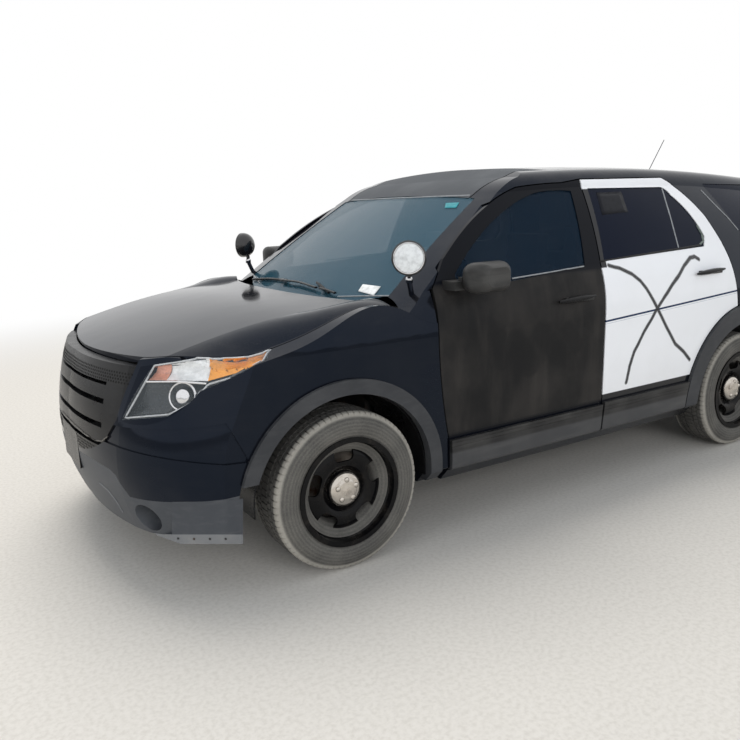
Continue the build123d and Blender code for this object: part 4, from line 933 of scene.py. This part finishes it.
def windscreen_pieces():
    """Both wipers, the pale lines above and below the windscreen, and its paper card and coloured tag."""
    tree = skin("windscreen", "cowl", "bonnet", "body_side_left", "roof_panel")
    for name, blade, arm in (("far_wiper", FAR_BLADE, FAR_ARM), ("near_wiper", NEAR_BLADE, NEAR_ARM)):
        blade = rod(traced(tree, blade, 12, 0.010), 0.007)
        arm = rod(traced(tree, arm, 10, 0.020), 0.009, 8, 0.6)
        piece(name, join(blade, arm), DARK, "body", "black_plastic")
    bead("header_line", HEADER_LINE, tree, 0.004, PALE_LINE, "body", "black_paint", 0.0005, False)
    foot = skin("bonnet", "cowl", "front_fender_left", "body_side_left", "windscreen")
    bead("cowl_edge_line", COWL_EDGE, foot, 0.0035, PALE_LINE, "body", "black_paint", 0.001)
    pane = skin("windscreen")
    card = patch(pane, CARD_TOP, CARD_FOOT, 0.003, 8, 6)
    thick(piece("paper_card", card, PAPER, "body", "clear_glass"), 0.0006)
    tag = patch(pane, TAG_TOP, TAG_FOOT, 0.001, 6, 4)
    thick(piece("teal_tag", tag, TEAL, "body", "clear_glass"), 0.0006)


SPOT_PLACE = Vector((1.172, 0.881, 1.337))
SPOT_TURN = math.radians(55)
BALL_DROP = Vector((0, 0, -0.0965))


def spotlight_pieces():
    """Each spotlight's lens, dark rim, bright edge and swivel ball; profiles are (radius, along) points."""
    place, aim = SPOT_PLACE, Vector((math.cos(SPOT_TURN), math.sin(SPOT_TURN), 0))
    lens = [(0.0655, 0.0365), (0.064, 0.0395), (0.050, 0.0425), (0.030, 0.0445), (0.0, 0.0455)]
    rim = [(0.0755, 0.0240), (0.0765, 0.0300), (0.0765, 0.0385), (0.0740, 0.0420), (0.0690, 0.0425),
           (0.0655, 0.0400), (0.0655, 0.0330), (0.0700, 0.0240)]
    edge = [(0.0690, 0.0424), (0.0688, 0.0436), (0.0672, 0.0438), (0.0656, 0.0426), (0.0660, 0.0412)]
    ball = [(0.0, -0.0165), (0.010, -0.013), (0.0155, -0.006), (0.0165, 0.0), (0.0155, 0.006), (0.010, 0.013),
            (0.0, 0.0165)]
    for name, form, finish, slot in (
        ("spotlight_lens", lathe(lens, place, aim, 64), SPOT_LENS, "clear_glass"),
        ("spotlight_rim", lathe(rim, place, aim, 72, True), LAMP_BOWL, "black_plastic"),
        ("spotlight_edge", lathe(edge, place, aim, 72, True), CHROME, "chrome"),
        ("spotlight_ball", lathe(ball, place + BALL_DROP, (0, 0, 1), 24), CHROME, "chrome"),
    ):
        mirrored_pair(name, form, finish, "spotlight_left", slot)


RED_TOP, RED_FOOT = ((155, 363), (170, 361.5)), ((147, 380), (165, 380))
WHITE_TOP, WHITE_FOOT = ((170, 361.5), (210, 357.5)), ((165, 380), (207, 381))
AMBER_TOP, AMBER_FOOT = ((210, 357.5), (266, 349.5)), ((207, 381), (236, 373), (262, 358))
BOWL_TOP, BOWL_FOOT = ((145, 383), (206, 384)), ((126, 416), (166, 412.5), (189, 401), (206, 386))
LAMP_BAND = ((145, 381.5), (175, 381.2), (206, 383.5))
PROJECTOR = (181, 396.5)


def headlamp_pieces():
    """Behind the clear cover: bezel, white reflector, amber and reddish ends, dark bowl and projector."""
    tree = skin("headlamps")
    bezel = traced(tree, inset(LAMP_EDGE, 1.6), 120, -0.004)
    mirrored_pair("lamp_bezel", rod(bezel, 0.0040), LAMP_RIM, "body", "lamp")
    for name, top, foot, hollow, finish in (
        ("lamp_red_end", RED_TOP, RED_FOOT, 0.018, LAMP_RED),
        ("lamp_white_bowl", WHITE_TOP, WHITE_FOOT, 0.022, LAMP_WHITE),
        ("lamp_amber_wedge", AMBER_TOP, AMBER_FOOT, 0.012, LAMP_AMBER),
        ("lamp_dark_bowl", BOWL_TOP, BOWL_FOOT, 0.026, LAMP_DARK),
    ):
        mirrored_pair(name, patch(tree, top, foot, -0.010, 28, 12, hollow), finish, "body", "lamp")
    band = traced(tree, LAMP_BAND, 30, -0.007)
    mirrored_pair("lamp_chrome_band", rod(band, 0.0045), CHROME, "body", "lamp")
    centre = seat(tree, *PROJECTOR, -0.016)
    ahead = (seat(tree, *PROJECTOR) - centre).normalized()
    ring = [(0.060, -0.004), (0.060, 0.005), (0.0565, 0.009), (0.052, 0.006), (0.052, -0.004)]
    lens = [(0.031, -0.006), (0.031, 0.002), (0.028, 0.007), (0.018, 0.012), (0.0, 0.014)]
    eye = join(lathe(ring, centre, ahead, 56, True), lathe(lens, centre, ahead, 40))
    mirrored_pair("lamp_projector", eye, CHROME, "body", "lamp")


def beside(u, v, y):
    """The place behind a pixel at a distance y from the car's middle."""
    start, ahead = sight(u, v)
    return start + ahead * ((y - start.y) / ahead.y)


def walled(form, depth):
    """A skin with its wall, which is a closed form."""
    bmesh.ops.recalc_face_normals(form, faces=form.faces)
    bmesh.ops.solidify(form, geom=form.faces[:], thickness=depth)
    return outward(form)


def inset(outline, amount):
    """A pixel outline drawn in towards its middle."""
    mid = (sum(p[0] for p in outline) / len(outline), sum(p[1] for p in outline) / len(outline))
    out = []
    for u, v in outline:
        away = math.hypot(u - mid[0], v - mid[1])
        out.append((u + (mid[0] - u) * amount / away, v + (mid[1] - v) * amount / away))
    return out


HOLE_RISE = 0.0125
HOLE_PITCH = 0.018
PLATE_HALF = 0.165
GRILLE_BANDS = (("upper", 0.890, 0.930), ("lower", 0.560, 0.604))


def grille_pieces():
    """Rows of dark hexagons above and below the grille's bars, none behind the plate bracket; their black is
    painted shade that stands for holes.
    """
    tree = skin("grille")
    for name, foot, top in GRILLE_BANDS:
        spots = []
        for i in range(int((top - foot) / HOLE_RISE) + 1):
            for k in range(-33, 34):
                y = k * HOLE_PITCH + (i % 2) * HOLE_PITCH / 2
                if name == "lower" and abs(y) < PLATE_HALF:
                    continue
                start = Vector((2.6, y, foot + HOLE_RISE * i))
                hit, normal, index, distance = tree.ray_cast(start, Vector((-1, 0, 0)))
                if hit and normal.x > 0.3 and hit.x > 2.10:
                    spots.append((hit, normal))
        studs(name + "_grille_holes", spots, "hexagon", (0.0050, 0.0006), HOLE_SHADE, "body", "black_plastic")


WINDOW_STRIP = ((512, 278.6), (548, 272.6), (583.5, 266.4))
WINDOW_SEAL = ((597.5, 262.0), (640, 255.0), (680, 248.6), (699.5, 245.0))
GLASS_DIVIDER = ((661.8, 188.6), (670, 216), (678.4, 247.5))
CORNER_SEAL = ((696, 225), (701.5, 234.5), (703, 241), (699.5, 244.6))
QUARTER_LINE = ((700.5, 190), (713, 203), (727, 217), (738, 230))
FRONT_GRIP = ((556, 302.4), (566, 301.0), (578, 298.6), (592, 296.0))
REAR_GRIP = ((694, 274.6), (703, 273.0), (712, 271.2), (721, 269.4))
GRIP_RADII = [0.006, 0.012, 0.015, 0.0165, 0.017, 0.0165, 0.015, 0.012, 0.007]
FILM_TOP, FILM_FOOT = ((596, 192.6), (621, 191.8)), ((602, 215), (628, 212))


def door_pieces():
    """Window seals and lines, handle grips, the rear film square, the mirrors' lamp and glass."""
    front = skin("front_door_left", "front_door_glass_left")
    rear = skin("rear_door_left", "rear_door_glass_left")
    quarter = skin("quarter_glasses", "body_side_left", "rear_door_left")
    for name, line, tree, radius, finish, body, proud, flat in (
        ("front_window_strip", WINDOW_STRIP, front, 0.0035, PALE_LINE, "front_door_left", 0.0015, 1.0),
        ("rear_window_seal", WINDOW_SEAL, rear, 0.0055, DARK, "rear_door_left", 0.0015, 1.0),
        # The divider is a black bar drawn pale: a painted highlight along it
        ("rear_glass_divider", GLASS_DIVIDER, rear, 0.0045, PALE_LINE, "rear_door_left", 0.0005, 0.6),
        ("rear_corner_seal", CORNER_SEAL, rear, 0.007, SEAL_GREEN, "rear_door_left", 0.001, 0.7),
        ("quarter_glass_line", QUARTER_LINE, quarter, 0.0035, PALE_LINE, "body", 0.0005, 1.0),
    ):
        bead(name, line, tree, radius, finish, body, "black_plastic", proud, flat=flat)
    for end, tree, line in (("front", front, FRONT_GRIP), ("rear", rear, REAR_GRIP)):
        grip = rod(traced(tree, line, 9, 0.024), GRIP_RADII, 14, 0.85)
        mirrored_pair(end + "_handle_grip", grip, DARK, end + "_door_left", "black_plastic")
    square = patch(skin("rear_door_glass_left"), FILM_TOP, FILM_FOOT, 0.0006, 8, 6)
    thick(piece("window_film_square", square, FILM, "rear_door_left", "tinted_glass"), 0.0004)
    puddle = slab((0.885, 1.055, 1.1755), (0.060, 0.036, 0.008), 0.003)
    mirrored_pair("mirror_puddle_lamp", puddle, SPOT_LENS, "front_door_left", "clear_glass")
    plate = slab((0.7905, 1.060, 1.240), (0.004, 0.094, 0.090), 0.0015)
    mirrored_pair("mirror_glass", plate, MIRROR, "front_door_left", "black_plastic")


VALANCE_BROW = ((172, 501.8), (205, 501.4), (238.5, 499))
VALANCE_FACE = ((172, 519), (205, 512), (238.5, 505))
COLUMNS = 22
SKIRT_FOOT = 534.5
LIP_ENDS = ((156, 533.0), (164, 534.0))
LIP_FOOT = 544.0
TORN_FOLD = ((62, 411), (74, 424), (84, 433), (95, 440.5), (103, 441), (107.5, 436))
CREASE = ((100, 483), (108, 490), (116, 500), (123, 512))


def carried_on(places):
    """The places with one more beyond their end."""
    return places + [places[-1] + (places[-1] - places[-2]) * 1.4]


def nose_pieces():
    """The valance's skirt and pale lip with its screws, the crease beside it and the bumper's torn fold."""
    tree = skin("front_valance", "front_bumper", "grille", "plate_bracket")
    face = carried_on(traced(tree, VALANCE_FACE, COLUMNS, 0.0015))
    brow = carried_on(traced(tree, VALANCE_BROW, COLUMNS, 0.0015))
    columns = [172 + 66.5 * k / (COLUMNS - 1) for k in range(COLUMNS)] + [243]
    foot = [beside(u, SKIRT_FOOT, p.y) for u, p in zip(columns, face)]
    mirrored_pair("valance_skirt", walled(grid([brow, face, foot]), 0.003), GREY, "body", "grey_plastic")
    edge = [seat(tree, u, v, 0.002) for u, v in LIP_ENDS] + foot
    columns = [u for u, v in LIP_ENDS] + columns
    hem = [beside(u, min(LIP_FOOT, SKIRT_FOOT + (u - 154) * 0.35), p.y) for u, p in zip(columns, edge)]
    mirrored_pair("valance_lip", walled(grid([edge, hem]), 0.004), LIP, "body", "grey_plastic")
    spots = []
    out = Vector((0.6, 0.8, 0)).normalized()
    for k in (4, 9, 14, 19):
        at = edge[k].lerp(hem[k], 0.45)
        spots += [(at + out * 0.002, out), (Vector((at.x, -at.y, at.z)), Vector((out.x, -out.y, 0)))]
    studs("lip_screws", spots, "dome", (0.005, 0.002), CHASSIS, "body", "grey_plastic")
    bead("torn_fold", TORN_FOLD, tree, 0.004, WORN_EDGE, "body", "grey_plastic", 0.0015, False, flat=0.6)
    bead("valance_crease", CREASE, tree, 0.003, LIP, "body", "grey_plastic", 0.0005)


def behind(tree, y, z, proud):
    """The place on the tail's faces at a distance from the middle and a height, lifted off them by proud."""
    at = Vector((-3.0, y, z))
    hit, normal, index, distance = tree.ray_cast(at, Vector((1, 0, 0)))
    if hit is None:
        hit, normal, index, distance = tree.find_nearest(at + Vector((0.6, 0, 0)))
    return hit - normal * math.copysign(proud, normal.x)


def tail_panel(tree, y0, y1, z0, z1, proud, depth=0.003):
    """A thin panel on the tail's faces, between two distances from the middle and two heights."""
    rows = []
    for i in range(7):
        z = z0 + (z1 - z0) * i / 6
        rows.append([behind(tree, y0 + (y1 - y0) * k / 14, z, proud) for k in range(15)])
    return walled(grid(rows), depth)


def tail_pieces():
    """The liftgate's bare plate place, grip bar and wiper, the reversing lenses and the reflectors."""
    gate = skin("liftgate", "liftgate_glass")
    place = tail_panel(gate, -0.19, 0.19, 0.80, 0.97, 0.002)
    piece("plate_place", place, DARK, "liftgate", "black_plastic")
    bar = tail_panel(gate, -0.34, 0.34, 1.000, 1.036, 0.007, 0.006)
    piece("gate_grip_bar", bar, DARK, "liftgate", "black_plastic")
    sweep = [behind(gate, 0.02 + 0.030 * k, 1.215 + 0.003 * k, 0.012) for k in range(12)]
    piece("rear_wiper", rod(sweep, 0.0075, 8, 0.7), DARK, "liftgate", "black_plastic")
    lens = tail_panel(skin("tail_lamps"), 0.745, 0.885, 0.930, 0.990, 0.0015)
    mirrored_pair("reversing_lens", lens, LAMP_WHITE, "body", "clear_glass")
    reflector = tail_panel(skin("rear_bumper"), 0.60, 0.79, 0.430, 0.462, 0.0015)
    mirrored_pair("bumper_reflector", reflector, RED_LENS, "body", "red_lens")


# Finishes of the small pieces

# Pale grey for thin lines along edges and trims; on the black rear glass divider it is a painted highlight
PALE_LINE = plain("pale_edge_line", (0.30, 0.31, 0.32), 0.5)
FILM = plain("dull_window_film", (0.009, 0.010, 0.014), 0.35, Specular_IOR_Level=0.15)
WORN_EDGE = plain("worn_bumper_edge", (0.16, 0.15, 0.135), 0.6)
SEAL_GREEN = plain("grey_green_seal", (0.16, 0.19, 0.17), 0.5)
LIP = plastic("pale_lip_plastic", (0.17, 0.175, 0.18), (0.30, 0.29, 0.27), 0.5)
PAPER = plain("white_paper", (0.80, 0.81, 0.80), 0.7)
TEAL = plain("teal_film", (0.02, 0.26, 0.30), 0.35)
MIRROR = plain("mirror_silver", (0.75, 0.77, 0.80), 0.03, 1.0)
CAP_CHROME = metal("worn_cap_chrome", (0.62, 0.58, 0.53), (0.24, 0.17, 0.11), 0.16, 1.0, 0.8)
SPOT_LENS = plain("frosted_spot_lens", (0.78, 0.80, 0.80), 0.12, Coat_Weight=0.9, Coat_Roughness=0.03)
LAMP_RIM = plain("lamp_rim_moulding", (0.52, 0.53, 0.54), 0.25, 0.3)
LAMP_RED = plain("lamp_reddish_reflector", (0.80, 0.36, 0.24), 0.25, 0.2)
LAMP_WHITE = plain("lamp_white_reflector", (0.94, 0.94, 0.93), 0.20, 0.1)
LAMP_AMBER = plain("lamp_amber_reflector", (0.92, 0.36, 0.035), 0.25, 0.1, Coat_Weight=0.5)
LAMP_DARK = plain("lamp_dark_bowl", (0.030, 0.034, 0.038), 0.25, 0.5)
# Black of the grille's hexagons: painted shade that stands for holes
HOLE_SHADE = plain("grille_hole_shade", (0.001, 0.001, 0.001), 0.9)

wheels()
for node in ("front_seats", "rear_bench"):
    cushioned(node)
windscreen_pieces()
door_pieces()
nose_pieces()
tail_pieces()
spotlight_pieces()
headlamp_pieces()
grille_pieces()
